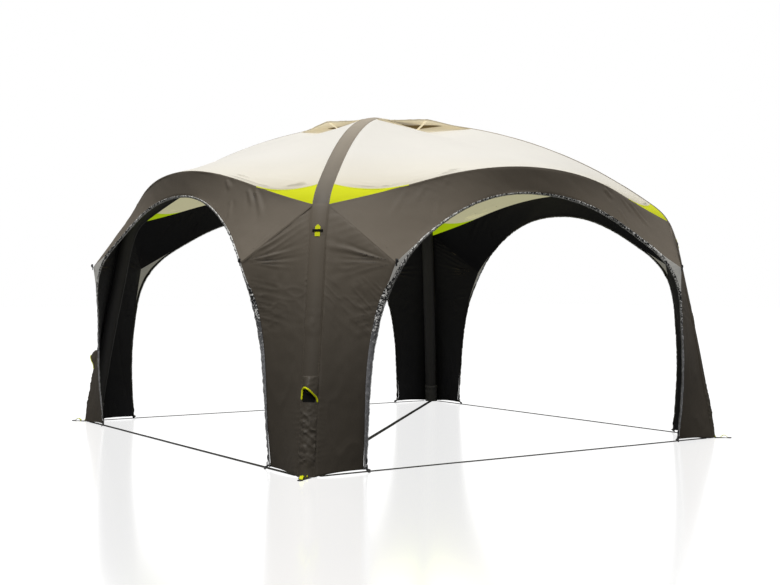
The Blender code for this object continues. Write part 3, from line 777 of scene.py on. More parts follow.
def ramp_of(tree, value, stops):
    """A colour ramp over a value, through stops of position and colour."""
    ramp = tree.nodes.new("ShaderNodeValToRGB")
    elements = ramp.color_ramp.elements
    while len(elements) < len(stops):
        elements.new(0.5)
    for element, (position, colour) in zip(elements, stops):
        element.position = position
        element.color = (*colour, 1.0)
    tree.links.new(value, ramp.inputs[0])
    return ramp.outputs[0]


def maths(tree, operation, first, second):
    """A maths node over two values, each a socket or a number."""
    node = tree.nodes.new("ShaderNodeMath")
    node.operation = operation
    for given, socket in zip((first, second), node.inputs):
        if isinstance(given, (int, float)):
            socket.default_value = given
        else:
            tree.links.new(given, socket)
    return node.outputs[0]


def blended(tree, kind, factor, first, second):
    """A colour mix: each colour, and the factor, may be a socket or a fixed value."""
    mixed = tree.nodes.new("ShaderNodeMix")
    mixed.data_type = "RGBA"
    mixed.blend_type = kind
    for given, name in ((factor, "Factor"), (first, "A"), (second, "B")):
        socket = next(one for one in mixed.inputs if one.name == name and one.enabled)
        if isinstance(given, bpy.types.NodeSocket):
            tree.links.new(given, socket)
        else:
            socket.default_value = given if name == "Factor" else (*given, 1.0)
    return next(one for one in mixed.outputs if one.enabled)


def between(tree, value, low, high, first, last):
    """A value mapped smoothly from one range to another."""
    node = tree.nodes.new("ShaderNodeMapRange")
    node.interpolation_type = "SMOOTHSTEP"
    for name, number in (("From Min", low), ("From Max", high), ("To Min", first), ("To Max", last)):
        node.inputs[name].default_value = number
    tree.links.new(value, node.inputs["Value"])
    return node.outputs["Result"]


def weave(
    name,
    colour,
    roughness,
    thread=0.0011,
    tint=0.06,
    crumple=0.25,
    shade=None,
    gloss=0.5,
    stitched=False,
    light=0.0,
):
    """Woven, coated cloth: threads, soft crumples and varied colour. Shade holds heights and shares of it,
    painted light and shade by height; light is a painted glow.
    """
    made = new_material(name, colour, roughness, gloss=gloss)
    tree = made.node_tree
    shader = tree.nodes["Principled BSDF"]
    coordinates = tree.nodes.new("ShaderNodeTexCoord")
    place_at = coordinates.outputs["Object"]
    broad = texture(tree, "ShaderNodeTexNoise", place_at, 1.7, Detail=4.0, Roughness=0.55)
    fine = texture(tree, "ShaderNodeTexNoise", place_at, 38.0, Detail=6.0, Roughness=0.6)
    darker, paler = [c * (1 - tint) for c in colour], [min(1.0, c * (1 + tint)) for c in colour]
    tone = ramp_of(tree, broad.outputs["Fac"], ((0.3, darker), (0.7, paler)))
    # Painted light and shade: the colour is scaled by a ramp over height
    if shade:
        height = maths(tree, "DIVIDE", axis_of(tree, place_at, "Z"), TOP)
        shares = ramp_of(tree, height, [(z / TOP, tint_of(c)) for z, c in shade])
        tone = blended(tree, "MULTIPLY", 1.0, tone, shares)
    if stitched:
        thread_colour = [c * 1.8 for c in colour]
        tone = blended(tree, "MIX", stitches(tree, coordinates.outputs["UV"]), tone, thread_colour)
    tree.links.new(tone, shader.inputs["Base Color"])
    # Painted light: the cloth glows in its own colour, for light that shines through it or into its shade
    if light:
        shader.inputs["Emission Color"].default_value = (*colour, 1.0)
        shader.inputs["Emission Strength"].default_value = light
    rough = between(tree, fine.outputs["Fac"], 0.0, 1.0, roughness - 0.07, roughness + 0.07)
    tree.links.new(rough, shader.inputs["Roughness"])
    folds = texture(tree, "ShaderNodeTexNoise", place_at, 16.0, Detail=5.0, Roughness=0.5, Distortion=0.6)
    bump = bumped(tree, folds.outputs["Fac"], crumple, 0.003)
    normal = bumped(tree, thread_height(tree, place_at, thread), 0.12, 0.0003, bump)
    tree.links.new(normal, shader.inputs["Normal"])
    return made


def tint_of(share):
    """A share of colour as three, from one number or from three."""
    return (share, share, share) if isinstance(share, float) else share


def bumped(tree, height, strength, distance, normal=None):
    """A normal socket, bumped by a height."""
    node = tree.nodes.new("ShaderNodeBump")
    node.inputs["Strength"].default_value = strength
    node.inputs["Distance"].default_value = distance
    tree.links.new(height, node.inputs["Height"])
    if normal is not None:
        tree.links.new(normal, node.inputs["Normal"])
    return node.outputs[0]


def stitches(tree, flat):
    """A mask of two rows of dashes along a tape, from its flat coordinates in metres."""
    cycle = maths(tree, "FRACT", maths(tree, "MULTIPLY", axis_of(tree, flat, "X"), STITCHES_PER_METRE), 0.0)
    dash = maths(tree, "LESS_THAN", cycle, 0.6)
    off = maths(tree, "SUBTRACT", maths(tree, "ABSOLUTE", axis_of(tree, flat, "Y"), 0.0), TAPE_WIDTH * 0.28)
    row = maths(tree, "LESS_THAN", maths(tree, "ABSOLUTE", off, 0.0), STITCH_HALF)
    return maths(tree, "MULTIPLY", dash, row)


def thread_height(tree, place_at, pitch):
    """Threads that run along, across and up, added into a plain weave."""
    total = 0.0
    for direction in ("X", "Y", "Z"):
        wave = texture(tree, "ShaderNodeTexWave", place_at, 0.314 / pitch)
        wave.bands_direction = direction
        total = maths(tree, "ADD", wave.outputs["Fac"], total)
    return total


def zip_film():
    """Clear film over a black zip, crumpled, with painted glints and reflections: white specks on the black,
    greyer below and white at the foot.
    """
    made = new_material("zip_film", (0.05, 0.05, 0.05), 0.22)
    tree = made.node_tree
    shader = tree.nodes["Principled BSDF"]
    place_at = tree.nodes.new("ShaderNodeTexCoord").outputs["Object"]
    small = texture(tree, "ShaderNodeTexNoise", place_at, 75.0, Detail=2.0, Roughness=0.5, Distortion=0.8)
    broad = texture(tree, "ShaderNodeTexNoise", place_at, 1.6, Detail=2.0)
    height = axis_of(tree, place_at, "Z")
    toward = maths(tree, "SUBTRACT", axis_of(tree, place_at, "X"), axis_of(tree, place_at, "Y"))
    toward, on_head = between(tree, toward, 0.6, 2.6, -0.02, 0.09), between(tree, height, 1.2, 1.6, 0.0, 1.0)
    mottle = maths(tree, "ADD", small.outputs["Fac"], maths(tree, "MULTIPLY", broad.outputs["Fac"], 0.5))
    mottle = maths(tree, "ADD", mottle, maths(tree, "MULTIPLY", toward, on_head))
    # Painted glints and reflections: white specks from the mottle, then grey lower down and white at the foot
    glints = ramp_of(tree, mottle, ((0.74, FILM_DARK), (0.79, FILM_GREY), (0.85, FILM_GLINT)))
    tone = blended(tree, "MIX", between(tree, height, 0.70, 1.15, 0.85, 0.0), glints, FILM_LOW_REFLECTION)
    tone = blended(tree, "MIX", between(tree, height, 0.03, 0.10, 0.8, 0.0), tone, FILM_FOOT_REFLECTION)
    tree.links.new(tone, shader.inputs["Base Color"])
    tree.links.new(bumped(tree, small.outputs["Fac"], 0.9, 0.004), shader.inputs["Normal"])
    return made


def make_materials():
    """Fills LOOKS with every cloth, webbing, film and plastic, and the floor."""
    LOOKS.update({
        "dark": weave("dark_cloth", DARK_CLOTH, 0.55, shade=LEG_SHADE, gloss=0.35),
        "arch": weave("arch_cloth", DARK_CLOTH, 0.55, shade=ARCH_SHADE, gloss=0.35),
        "dark_inside": weave("dark_cloth_inside", (0.0210, 0.0215, 0.0285), 0.6, gloss=0.25),
        "dark_seam": weave("dark_seam_tape", DARK_TAPE, 0.6, shade=LEG_SHADE, gloss=0.3, stitched=True),
        "cream": weave("cream_cloth", (0.84, 0.81, 0.74), 0.60, tint=0.02, shade=CREAM_SHADE),
        # The cream and lime insides are drawn darker as painted shade, and glow as painted light through the
        # cloth
        "cream_inside": weave("cream_cloth_inside", (0.60, 0.57, 0.36), 0.65, tint=0.03, light=0.60),
        "lime": weave("lime_cloth", (0.74, 0.78, 0.002), 0.60, tint=0.03, gloss=0.2),
        "lime_inside": weave("lime_cloth_inside", (0.42, 0.58, 0.004), 0.6, tint=0.03, light=0.62),
        "lime_seam": weave("lime_seam_tape", (0.66, 0.70, 0.01), 0.6, stitched=True),
        "band": weave("band_cloth", (0.455, 0.388, 0.298), 0.50, tint=0.05, shade=BAND_SHADE, gloss=0.3),
        "band_seam": weave("band_seam_tape", BAND_TAPE, 0.55, shade=BAND_SHADE, gloss=0.3, stitched=True),
        "tan": weave("tan_cloth", (0.74, 0.66, 0.48), 0.6, tint=0.04),
        # The vent's base, its seam tape, the prop and the gussets glow a little: painted light where they lie
        # in shade
        "tan_base": weave("tan_base_cloth", (0.70, 0.65, 0.52), 0.6, tint=0.04, light=0.31),
        "tan_seam": weave("tan_seam_tape", (0.60, 0.53, 0.38), 0.6, light=0.1, stitched=True),
        "prop": weave("prop_cloth", (0.80, 0.73, 0.56), 0.6, light=0.52),
        "gusset": weave("gusset_cloth", (0.62, 0.61, 0.57), 0.55, tint=0.03, light=0.15),
        # The net is the tan drawn dark brown, painted shade under the hood, and glows a little, painted light
        "net": weave("vent_net", (0.15, 0.10, 0.028), 0.7, thread=0.003, light=0.36),
        "zip": zip_film(),
        "zip_inside": weave("zip_tape_inside", (0.030, 0.030, 0.028), 0.5),
        "teeth": weave("zip_teeth", (0.22, 0.22, 0.21), 0.3, crumple=0.1),
        "beam": weave("beam_sleeve", (0.066, 0.066, 0.074), 0.5, crumple=0.35, gloss=0.35),
        "boot": weave("boot_cloth", (0.105, 0.105, 0.115), 0.55, crumple=0.35),
        "webbing": weave("webbing", (0.022, 0.021, 0.021), 0.6, thread=0.0016, crumple=0.1),
        "black": weave("black_patch", (0.006, 0.006, 0.005), 0.7, gloss=0.1),
        "plastic": new_material("black_plastic", (0.02, 0.02, 0.02), 0.35),
        "floor": floor_material(),
    })


# Stage and camera

CAMERA_PLACE = (8.569, -5.848, 1.210)
CAMERA_YAW = math.radians(55.49)
CAMERA_PITCH = math.radians(-0.18)
CAMERA_ROLL = math.radians(0.27)
FOCAL_PIXELS = 1202.8
IMAGE_WIDTH = 780
SKY_LOW = 0.12
SKY_HIGH = 0.90
SUN_LIGHT = 1.5
SUN_SPREAD = math.radians(40)
SUN_AIM = (-0.24, 0.40, -1.0)
FLOOR_HALF = 60
FLOOR_DULL = 0.12
FLOOR_GLOW = 0.81
FLOOR_GLOSS = 1.8


def make_camera():
    """The camera that the photo was fitted to."""
    data = bpy.data.cameras.new("photo_camera")
    data.sensor_width = 36.0
    data.lens = FOCAL_PIXELS / IMAGE_WIDTH * data.sensor_width
    data.clip_end = 200
    camera = bpy.data.objects.new("photo_camera", data)
    flat = math.cos(CAMERA_PITCH)
    ahead = Vector((-math.sin(CAMERA_YAW) * flat, math.cos(CAMERA_YAW) * flat, math.sin(CAMERA_PITCH)))
    look = ahead.to_track_quat("-Z", "Y").to_matrix().to_4x4()
    camera.matrix_world = Matrix.Translation(CAMERA_PLACE) @ look @ Matrix.Rotation(CAMERA_ROLL, 4, "Z")
    bpy.context.scene.collection.objects.link(camera)
    bpy.context.scene.camera = camera


def make_stage():
    """A white floor with a faint gloss, a sky that is brighter overhead, and one broad soft sun."""
    corners = [(x * FLOOR_HALF, y * FLOOR_HALF, 0) for x, y in ((-1, -1), (1, -1), (1, 1), (-1, 1))]
    mesh_object("floor", corners, [(0, 1, 2, 3)], ["floor"], closed=False)
    world = bpy.data.worlds.new("studio")
    world.use_nodes = True
    tree = world.node_tree
    background = tree.nodes["Background"]
    background.inputs["Color"].default_value = (1, 1, 1, 1)
    towards = tree.nodes.new("ShaderNodeTexCoord").outputs["Generated"]
    light = between(tree, axis_of(tree, towards, "Z"), 0.0, 1.0, SKY_LOW, SKY_HIGH)
    seen = tree.nodes.new("ShaderNodeLightPath").outputs["Is Camera Ray"]
    tree.links.new(maths(tree, "MAXIMUM", light, seen), background.inputs["Strength"])
    bpy.context.scene.world = world
    sun_data = bpy.data.lights.new("soft_sun", "SUN")
    sun_data.energy = SUN_LIGHT
    sun_data.angle = SUN_SPREAD
    sun = bpy.data.objects.new("soft_sun", sun_data)
    sun.rotation_mode = "QUATERNION"
    sun.rotation_quaternion = Vector(SUN_AIM).to_track_quat("-Z", "Y")
    bpy.context.scene.collection.objects.link(sun)
    bpy.context.scene.view_settings.view_transform = "Standard"


def floor_material():
    """White where it is seen, with a soft reflection, and dull where it only throws light back."""
    made = new_material("pale_floor", (FLOOR_DULL, FLOOR_DULL, FLOOR_DULL), 0.9)
    tree = made.node_tree
    glow = tree.nodes.new("ShaderNodeEmission")
    glow.inputs["Strength"].default_value = FLOOR_GLOW
    gloss = tree.nodes.new("ShaderNodeBsdfGlossy")
    gloss.inputs["Color"].default_value = (FLOOR_GLOSS, FLOOR_GLOSS, FLOOR_GLOSS, 1.0)
    gloss.inputs["Roughness"].default_value = 0.15
    shown = tree.nodes.new("ShaderNodeAddShader")
    tree.links.new(glow.outputs[0], shown.inputs[0])
    tree.links.new(gloss.outputs[0], shown.inputs[1])
    mixed = tree.nodes.new("ShaderNodeMixShader")
    tree.links.new(tree.nodes.new("ShaderNodeLightPath").outputs["Is Camera Ray"], mixed.inputs[0])
    tree.links.new(tree.nodes["Principled BSDF"].outputs[0], mixed.inputs[1])
    tree.links.new(shown.outputs[0], mixed.inputs[2])
    tree.links.new(mixed.outputs[0], tree.nodes["Material Output"].inputs["Surface"])
    return made


# Canopy panels

LEG_BAND = 0.13
LEG_ROWS = ((0.0, 0.29, 64), (0.29, 0.64, 33), (0.64, 1.0, 72))
LEG_FLAP_COLUMNS = 45
LEG_SLEEVE_COLUMNS = 18
HEM_ARCH = 0.008
HEM_LIFT = 0.014
HEM_FADE = 0.03


def leg_surface(across, up):
    """Points of the back right leg: across from the right side's flap edge (-1) to the back's (1)."""
    across, up = np.broadcast_arrays(across, up)
    share = 1 + (CROWN_TIP - 1) * up
    cross = np.clip(np.abs(across) / LEG_BAND, 0, 1) * BAND_HALF
    sleeve = band_point(share, -cross)
    beyond = np.clip((np.abs(across) - LEG_BAND) / (1 - LEG_BAND), 0, 1)[..., None]
    points = sleeve + (flap_point(up) - sleeve) * beyond
    raised = HEM_ARCH * np.sin(math.pi * beyond[..., 0]) + HEM_LIFT * beyond[..., 0]
    points[..., 2] += raised * np.exp(-up / HEM_FADE)
    return np.where((across > 0)[..., None], points[..., [1, 0, 2]], points)


def leg_columns():
    """Places across a leg, closer together at its flaps' edges."""
    flap = 1 - (1 - LEG_BAND) * np.linspace(0, 1, LEG_FLAP_COLUMNS + 1)[:-1] ** 1.25
    sleeve = np.linspace(-LEG_BAND, LEG_BAND, LEG_SLEEVE_COLUMNS + 1)
    return np.concatenate([-flap, sleeve, flap[::-1]])


def leg_rows():
    """Places up a leg, closer together where it is crumpled at the foot and folded at the shoulders."""
    parts = [np.linspace(start, end, rows + 1)[:-1] for start, end, rows in LEG_ROWS]
    return np.concatenate(parts + [[1.0]])


def flap_height(points, from_seam, from_edge, from_top, mirror, seed):
    """The folds of one flap: the shoulder's fan, puckers along its edges and soft drapes."""
    kind = FLAPS[mirror]
    shoulder = SHOULDER[[1, 0, 2]] if mirror else SHOULDER
    seam = band_point(crown_at_height(SHOULDER[2]), -BAND_HALF)
    inwards = (seam[[1, 0, 2]] if mirror else seam) - shoulder
    inwards /= np.linalg.norm(inwards)
    z = points[..., 2]
    rise = z - shoulder[2]
    height = fan((points - shoulder) @ inwards, rise, kind["folds"], seed)
    height += zone(rise, *PUCKER_ZONE) * gathers(z, from_edge, *FLAP_EDGE_PUCKERS, seed + 1)
    under_tip = smooth((z - 1.42) / 0.08) * np.exp(-((from_top / 0.15) ** 2)) * smooth(from_seam / 0.010)
    slanted = z * 0.93 + from_seam * kind["pleat_lean"]
    height += kind["pleat_depth"] * under_tip * pleats(slanted, from_seam, *TIP_PLEATS, seed + 2, 0.95)
    height += gathers(z, from_seam, *FLAP_SEAM_PUCKERS, seed + 3) * (1 - under_tip)
    middle = zone(z, *DRAG_ZONE)
    height += middle * wrinkles(from_seam, -z, FLAP_DRAG, kind["drag_lean"], seed + 4)
    side_pull = middle * smooth((0.30 - from_edge) / 0.20)
    height += side_pull * wrinkles(from_edge, z, FLAP_SIDE_PULL, -14, seed + 8)
    height += zone(z, *DRAPE_ZONE) * wrinkles(from_seam, z, FLAP_DRAPES, 12, seed + 5)
    height += swells(z, from_seam, FLAP_SWELLS, seed + 6) + swells(z, from_seam, FLAP_RIPPLES, seed + 7)
    return height * smooth((from_edge + 0.4 * np.exp(-((rise / 0.06) ** 2))) / 0.045)


def sleeve_height(points, cross, from_seam, seed):
    """The sleeve on a leg: gathered along its seams, with a hem across it and crumpled near the ground."""
    z = points[..., 2]
    inside = np.maximum(-from_seam, 0)
    swirl = 0.6 * noise(z / 0.05, cross / 0.05, seed + 4)
    crumple = 0.6 * FOOT_CRUMPLE * ridged(noise(cross / 0.034 + swirl, z / 0.040 - swirl, seed + 1))
    crumple += wrinkles(cross, z, FOOT_CREASES, 35, seed + 2)
    crumple += wrinkles(cross, z, FOOT_CROSSINGS, -40, seed + 5)
    height = gathers(z, inside, *SLEEVE_PUCKERS, seed) + zone(z, *CRUMPLE_ZONE) * crumple
    height += zone(z, *CREASE_ZONE) * wrinkles(cross, z, SLEEVE_CREASES, 35, seed + 3)
    height *= smooth(inside / PUCKER_ROOT)
    step, soft = SLEEVE_HEM_STEP
    return height + step * smooth((z - SLEEVE_HEM_Z) / soft) * smooth(inside / soft)


def leg_panel(corner, quarter):
    """A corner leg, folded round its sleeve, with a flap on either side."""
    across = leg_columns()
    points = leg_surface(across[None, :], leg_rows()[:, None])
    places = lengths_from(points, 1)
    middle = len(across) // 2
    beside = places - places[:, [middle]]
    from_seam = np.abs(beside) - np.abs(beside[:, [middle + LEG_SLEEVE_COLUMNS // 2]])
    from_edge = np.minimum(places, places[:, -1:] - places)
    upwards = lengths_from(points, 0)
    from_top = upwards[-1:] - upwards
    height = np.where(from_seam > 0, 0, sleeve_height(points, beside, from_seam, 40 + 7 * quarter))
    for mirror in (False, True):
        flap = (from_seam > 0) & ((beside > 0) == mirror)
        seed = 70 + 40 * quarter + 20 * mirror
        folds = flap_height(points, np.maximum(from_seam, 0), from_edge, from_top, mirror, seed)
        height += np.where(flap, folds, 0)
    height = height * edge_fade(points.shape[:2], EDGE_CELLS) - seam_dip(from_seam)
    looks, rests_on = ("dark", "dark_inside"), [f"roof_band_{corner}"]
    panel(f"leg_cloth_{corner}", quarter, points, height, looks, "dark_fabric", [f"leg_{corner}"])


ARCH_COLUMNS = 260
ARCH_ROWS = 29
MIDDLE_SEAM_STEP = 0.0012


def arch_surface(share, down):
    """Points of the right side's arch panel: share along the side, down from the eave (0) to the head (1)."""
    share, down = np.broadcast_arrays(share, down)
    high, low = eave_point(share), head_point(share)
    return high + (low - high) * down[..., None]


def arch_fan(points, sign, seed):
    """The folds that spread over one end of an arch from its shoulder towards the lime tip."""
    turn = np.array((1, sign, 1))
    inwards = (LIME_TIP - SHOULDER) * turn
    inwards /= np.linalg.norm(inwards)
    beside = np.array((0.0, -sign, 0.0))
    aside = beside - inwards * (beside @ inwards)
    aside /= np.linalg.norm(aside)
    offset = points - SHOULDER * turn
    return ARCH_FAN_SHARE * fan(offset @ inwards, offset @ aside, ARCH_FAN, seed)


def arch_panel(side, quarter):
    """The panel over a doorway, puckered along the eave, with short folds and a seam down its middle."""
    rng = np.random.default_rng(140 + quarter)
    share = np.linspace(-1, 1, ARCH_COLUMNS)
    points = arch_surface(share[None, :], np.linspace(0, 1, ARCH_ROWS)[:, None])
    normals = grid_normals(points)
    along, below = lengths_from(points, 1), lengths_from(points, 0)
    height = np.zeros(points.shape[:2])
    for sign in (-1, 1):
        for start, end in ARCH_FOLDS:
            shift = rng.uniform(-0.02, 0.02)
            first = arch_surface(sign * (start[0] + shift), start[1])
            last = arch_surface(sign * (end[0] + shift), end[1])
            depth = rng.uniform(0.5, 1.0) * ARCH_FOLD_DEPTH[sign]
            height += crease(points, normals, first, last, ARCH_FOLD_WIDTH, depth, rng.uniform(-0.01, 0.01))
        height += arch_fan(points, sign, 150 + 2 * quarter + sign)
    ends = smooth((np.abs(share) - 0.35) / 0.3)[None, :]
    slanted = along * 0.9 + below * 0.4 * np.sign(share)[None, :]
    height += (0.3 + 0.7 * ends) * gathers(slanted, below, *ARCH_EAVE_PUCKERS, 160 + quarter)
    height += gathers(along, below[-1:] - below, *ARCH_HEAD_PUCKERS, 170 + quarter)
    height += swells(along, below, ARCH_SWELLS, 180 + quarter, 3 * quarter)
    height += swells(along, below, ARCH_RIPPLES, 190 + quarter)
    height *= edge_fade(points.shape[:2], EDGE_CELLS)
    height += MIDDLE_SEAM_STEP * smooth(points[..., 1] / 0.004 + 0.5) * edge_fade(points.shape[:2], 2)
    looks, nodes = ("arch", "dark_inside"), [f"arch_panel_{side}"]
    panel(f"arch_cloth_{side}", quarter, points, height, looks, "dark_fabric", nodes)


ROOF_COLUMNS = 130
ROOF_ROWS = 54
HEM_FOLD = 0.018


def roof_panel(side, quarter):
    """The cream roof: smooth above, sagging in folds along the edge that it hangs from at each end."""
    share = np.linspace(-1, 1, ROOF_COLUMNS)
    row = 1 - (1 - np.linspace(0, 1, ROOF_ROWS)) ** 1.6
    top, bottom = cap_down(share), lime_down(share)
    points = roof_point(share[None, :], top[None, :] + (bottom - top)[None, :] * row[:, None])
    along, across = lengths_from(points, 0), lengths_from(points, 1)
    from_band = np.minimum(across, across[:, -1:] - across)
    above = along[-1:] - along
    ends = zone(np.abs(share), *SAG_ZONE)[None, :]
    waver = 0.9 * noise(across / 0.30, above / 0.10, 240 + quarter)
    sag = 1 - np.abs(np.sin(math.pi * (above / SAG_WAVE + waver))) ** 0.8
    strength = np.clip(0.55 + 0.9 * noise(across / 0.22, above / 0.05, 245 + quarter), 0, 1)
    height = SAG_DEPTH * ends * strength * sag * np.exp(-above / 0.09) * smooth((above - 0.012) / 0.02)
    height += gathers(along, from_band, *ROOF_PUCKERS, 260 + quarter)
    height += ends * wrinkles(across, along, ROOF_DRAG, 8, 270 + quarter) * np.exp(-above / 0.30)
    height += swells(along, across, ROOF_SWELLS, 280 + quarter, 3 * quarter)
    height += swells(along, across, ROOF_RIPPLES, 290 + quarter)
    height = height * edge_fade(points.shape[:2], 3) - seam_dip(above - HEM_FOLD)
    looks, nodes = ("cream", "cream_inside"), [f"roof_panel_{side}"]
    panel(f"roof_cloth_{side}", quarter, points, height, looks, "cream_fabric", nodes)


def lime_panel(corner, side, quarter, sign):
    """The lime corner beside a band: sign 1 for the back end of the side, -1 for the front end."""
    share = 1 - (1 - LIME_SHARE) * np.linspace(1, 0, 46)
    row = np.linspace(0, 1, 20)
    top = lime_down(share)
    points = roof_point(sign * share[None, :], top[None, :] + (1 - top)[None, :] * row[:, None])
    # Its first column is one point, so it takes the next column's normals
    normals = grid_normals(points[:, 1:])
    normals = np.concatenate([normals[:, :1], normals], axis=1)
    along, below = lengths_from(points, 1), lengths_from(points, 0)
    height = gathers(below, along[:, -1:] - along, *LIME_PUCKERS, 300 + 2 * quarter + sign)
    height += swells(along, below, LIME_SWELLS, 310 + quarter)
    height *= edge_fade(points.shape[:2], 3)
    name, looks = f"{corner}_{side}", ("lime", "lime_inside")
    nodes, rests_on = [f"lime_panel_{name}"], [f"roof_panel_{side}"]
    panel(f"lime_cloth_{name}", quarter, points, height, looks, "lime_fabric", nodes, normals)


def roof_band(corner, quarter):
    """The sleeve over a beam on the roof, a little gathered along both seams."""
    share = crown_share(np.linspace(0, 1, 200))
    cross = np.linspace(-BAND_HALF, BAND_HALF, 15)
    points = band_point(share[:, None], cross[None, :])
    along = lengths_from(points, 0)
    seam = BAND_HALF - np.abs(cross)[None, :] + 0 * along
    height = gathers(along, seam, *BAND_PUCKERS, 330 + quarter)
    height += swells(along, cross[None, :], BAND_RIPPLES, 340 + quarter, 4)
    height *= edge_fade(points.shape[:2], 3)
    looks, nodes = ("band", "beam"), [f"roof_band_{corner}"]
    panel(f"band_cloth_{corner}", quarter, points, height, looks, "band_fabric", nodes)


def crown_patch():
    """The square piece over the crossing, a shallow dome between the four bands."""
    steps = np.linspace(-1, 1, 17)
    first, second = np.meshgrid(steps, steps, indexing="ij")
    reach, _, low = ROOF_TOP
    edge = np.maximum(np.abs(first), np.abs(second))
    slope = 1 - np.minimum(np.abs(first), np.abs(second)) ** 2 * edge**2
    x, y = (first - second) * reach / 2, (first + second) * reach / 2
    points = np.stack([x, y, low + (TOP - low) * slope], axis=-1)
    panel("crown_cloth", 0, points, 0, ("band", "beam"), "band_fabric", ["crown_patch"])


# The vent cap

HOOD_START = 0.10
NET_ROWS = (0.25, 0.70)
NET_SHARE = 0.84
PROP_WIDTH = 0.022
PROP_THICKNESS = 0.003
PROP_BOW = 0.004
PROP_FLARE = (0.25, 0.08)


def vent_panel(side, quarter):
    """The cap's base: tan cloth round a net under the hood, drawn dark brown as painted shade and glowing as
    painted light.
    """
    share = np.linspace(-1, 1, 61)
    row = np.linspace(0.001, 1, 34)
    points = roof_point(share[None, :], cap_down(share)[None, :] * row[:, None])
    middle_row = (row[:-1] + row[1:]) / 2
    middle_share = np.abs(share[:-1] + share[1:]) / 2
    under_hood = (middle_row > NET_ROWS[0]) & (middle_row < NET_ROWS[1])
    net = under_hood[:, None] & (middle_share[None, :] < NET_SHARE)
    looks, nodes, rests_on = ("tan_base", "net"), [f"vent_panel_{side}"], [f"roof_panel_{side}"]
    panel(f"vent_cloth_{side}", quarter, points, 0, looks, "tan_fabric", nodes, net=net)


def hood_peak(share):
    """How high the hood stands along its edge: 1 at its prop, falling away like a tent to both ends."""
    return (1 - np.abs(share) ** 1.1) ** 1.35


def hood_surface(share, row):
    """Points of a hood: share along its edge, row from the top (0) to that edge (1)."""
    lift = HOOD_LIFT * row**HOOD_RISE * hood_peak(share)
    return roof_point(share, cap_down(share) * row) + UP * (HOOD_CLEAR + lift)[..., None]


def vent_hood(side, quarter):
    """The raised hood over a vent, with a narrow hem that hangs from its outer edge."""
    share = np.linspace(-0.97, 0.97, 73)
    row = np.linspace(HOOD_START, 1, 30)
    roof = hood_surface(*np.broadcast_arrays(share[None, :], row[:, None]))
    drop = np.array((0.4, 0.8, 1.0))[:, None]
    hem = HOOD_HEM * hood_peak(share) ** 0.3
    hang = roof[-1][None] - UP * (drop * hem[None, :])[..., None] + drop[..., None] * np.array((-0.004, 0, 0))
    points = np.concatenate([roof, hang])
    across, along = lengths_from(points, 1), lengths_from(points, 0)
    height = swells(across, along, HOOD_SWELLS, 410 + quarter, quarter)
    height += wrinkles(across, along, HOOD_CREASES, 60, 415 + quarter)
    height *= edge_fade(points.shape[:2], 3)
    looks, nodes = ("tan", "tan_base"), [f"vent_hood_{side}"]
    panel(f"hood_cloth_{side}", quarter, points, height, looks, "tan_fabric", nodes)
    hood_prop(side, quarter)


def hood_prop(side, quarter):
    """The flat stiff strip that holds the hood up in its middle, wider at its head and foot."""
    foot = roof_point(0.0, cap_down(0.0) * PROP_ROW) + UP * 0.001
    head = hood_surface(np.array(0.0), np.array(PROP_HEAD_ROW)) - UP * CLOTH
    share = np.linspace(0, 1, 14)
    path = foot + (head - foot) * share[:, None]
    path[:, 0] += PROP_BOW * np.sin(math.pi * share)
    more, fade = PROP_FLARE
    size = 1 + more * np.exp(-share / fade) + more * np.exp(-(1 - share) / fade)
    outline = strap_outline(PROP_WIDTH, PROP_THICKNESS)[None] * np.stack([size, size**0], axis=-1)[:, None]
    piece(f"hood_prop_{side}", quarter, [("prop", swept(path, AHEAD, outline))], "tan_fabric")


# Doorway trim

TRIM_STEP = 0.008
TRIM_COLUMNS = 5
TRIM_SOFTENING = 13
LAP_FAR = 0.010
LAP_NEAR = 0.022
FLAP_WIDTH = 0.5
ARCH_DROP = 0.35
GUSSET_FROM = 0.06
FILM_CRUMPLE = 0.0027
FILM_RISE = 0.0042
TOOTH = (0.0022, 0.0042, 0.0018)
TOOTH_PITCH = 0.009
SLIDER_RADIUS = 0.007
PULL_RADIUS = 0.004
PULL_DROP = 0.030


def doorway_edge(first, last):
    """The cloth's edge round the right doorway, up one leg, over the head and down, and a line inside that.

    The line inside lies further from the edge by its first and by its last leg as the two overlaps say.
    """
    rise, share = np.linspace(0, 1, 160), np.linspace(1, -1, 420)[1:-1]
    lower = smooth((rise - 0.02) / 0.6)
    lines = []
    for start, end in ((0.0, 0.0), (first, last)):
        up = leg_surface(-1 + start / FLAP_WIDTH * lower, rise)
        down = leg_surface(-1 + end / FLAP_WIDTH * lower, rise)[::-1] * FLIP
        inset = np.where(share > 0, start, end)
        # A wide overlap narrows within a short way of the shoulder, a narrow one slowly
        begin, fade = np.where(inset > LAP_FAR, 0.85, 0.1), np.where(inset > LAP_FAR, 0.15, 0.5)
        wide = smooth((np.abs(share) - begin) / fade)
        over = arch_surface(share, 1 - inset / ARCH_DROP * (0.15 + 0.85 * wide))
        lines.append(np.concatenate([up, over, down]))
    along = lengths_from(lines[0][:, None], 0)[:, 0]
    stations = np.linspace(0, along[-1], int(along[-1] / TRIM_STEP))
    return [np.stack([np.interp(stations, along, line[:, i]) for i in range(3)], axis=-1) for line in lines]


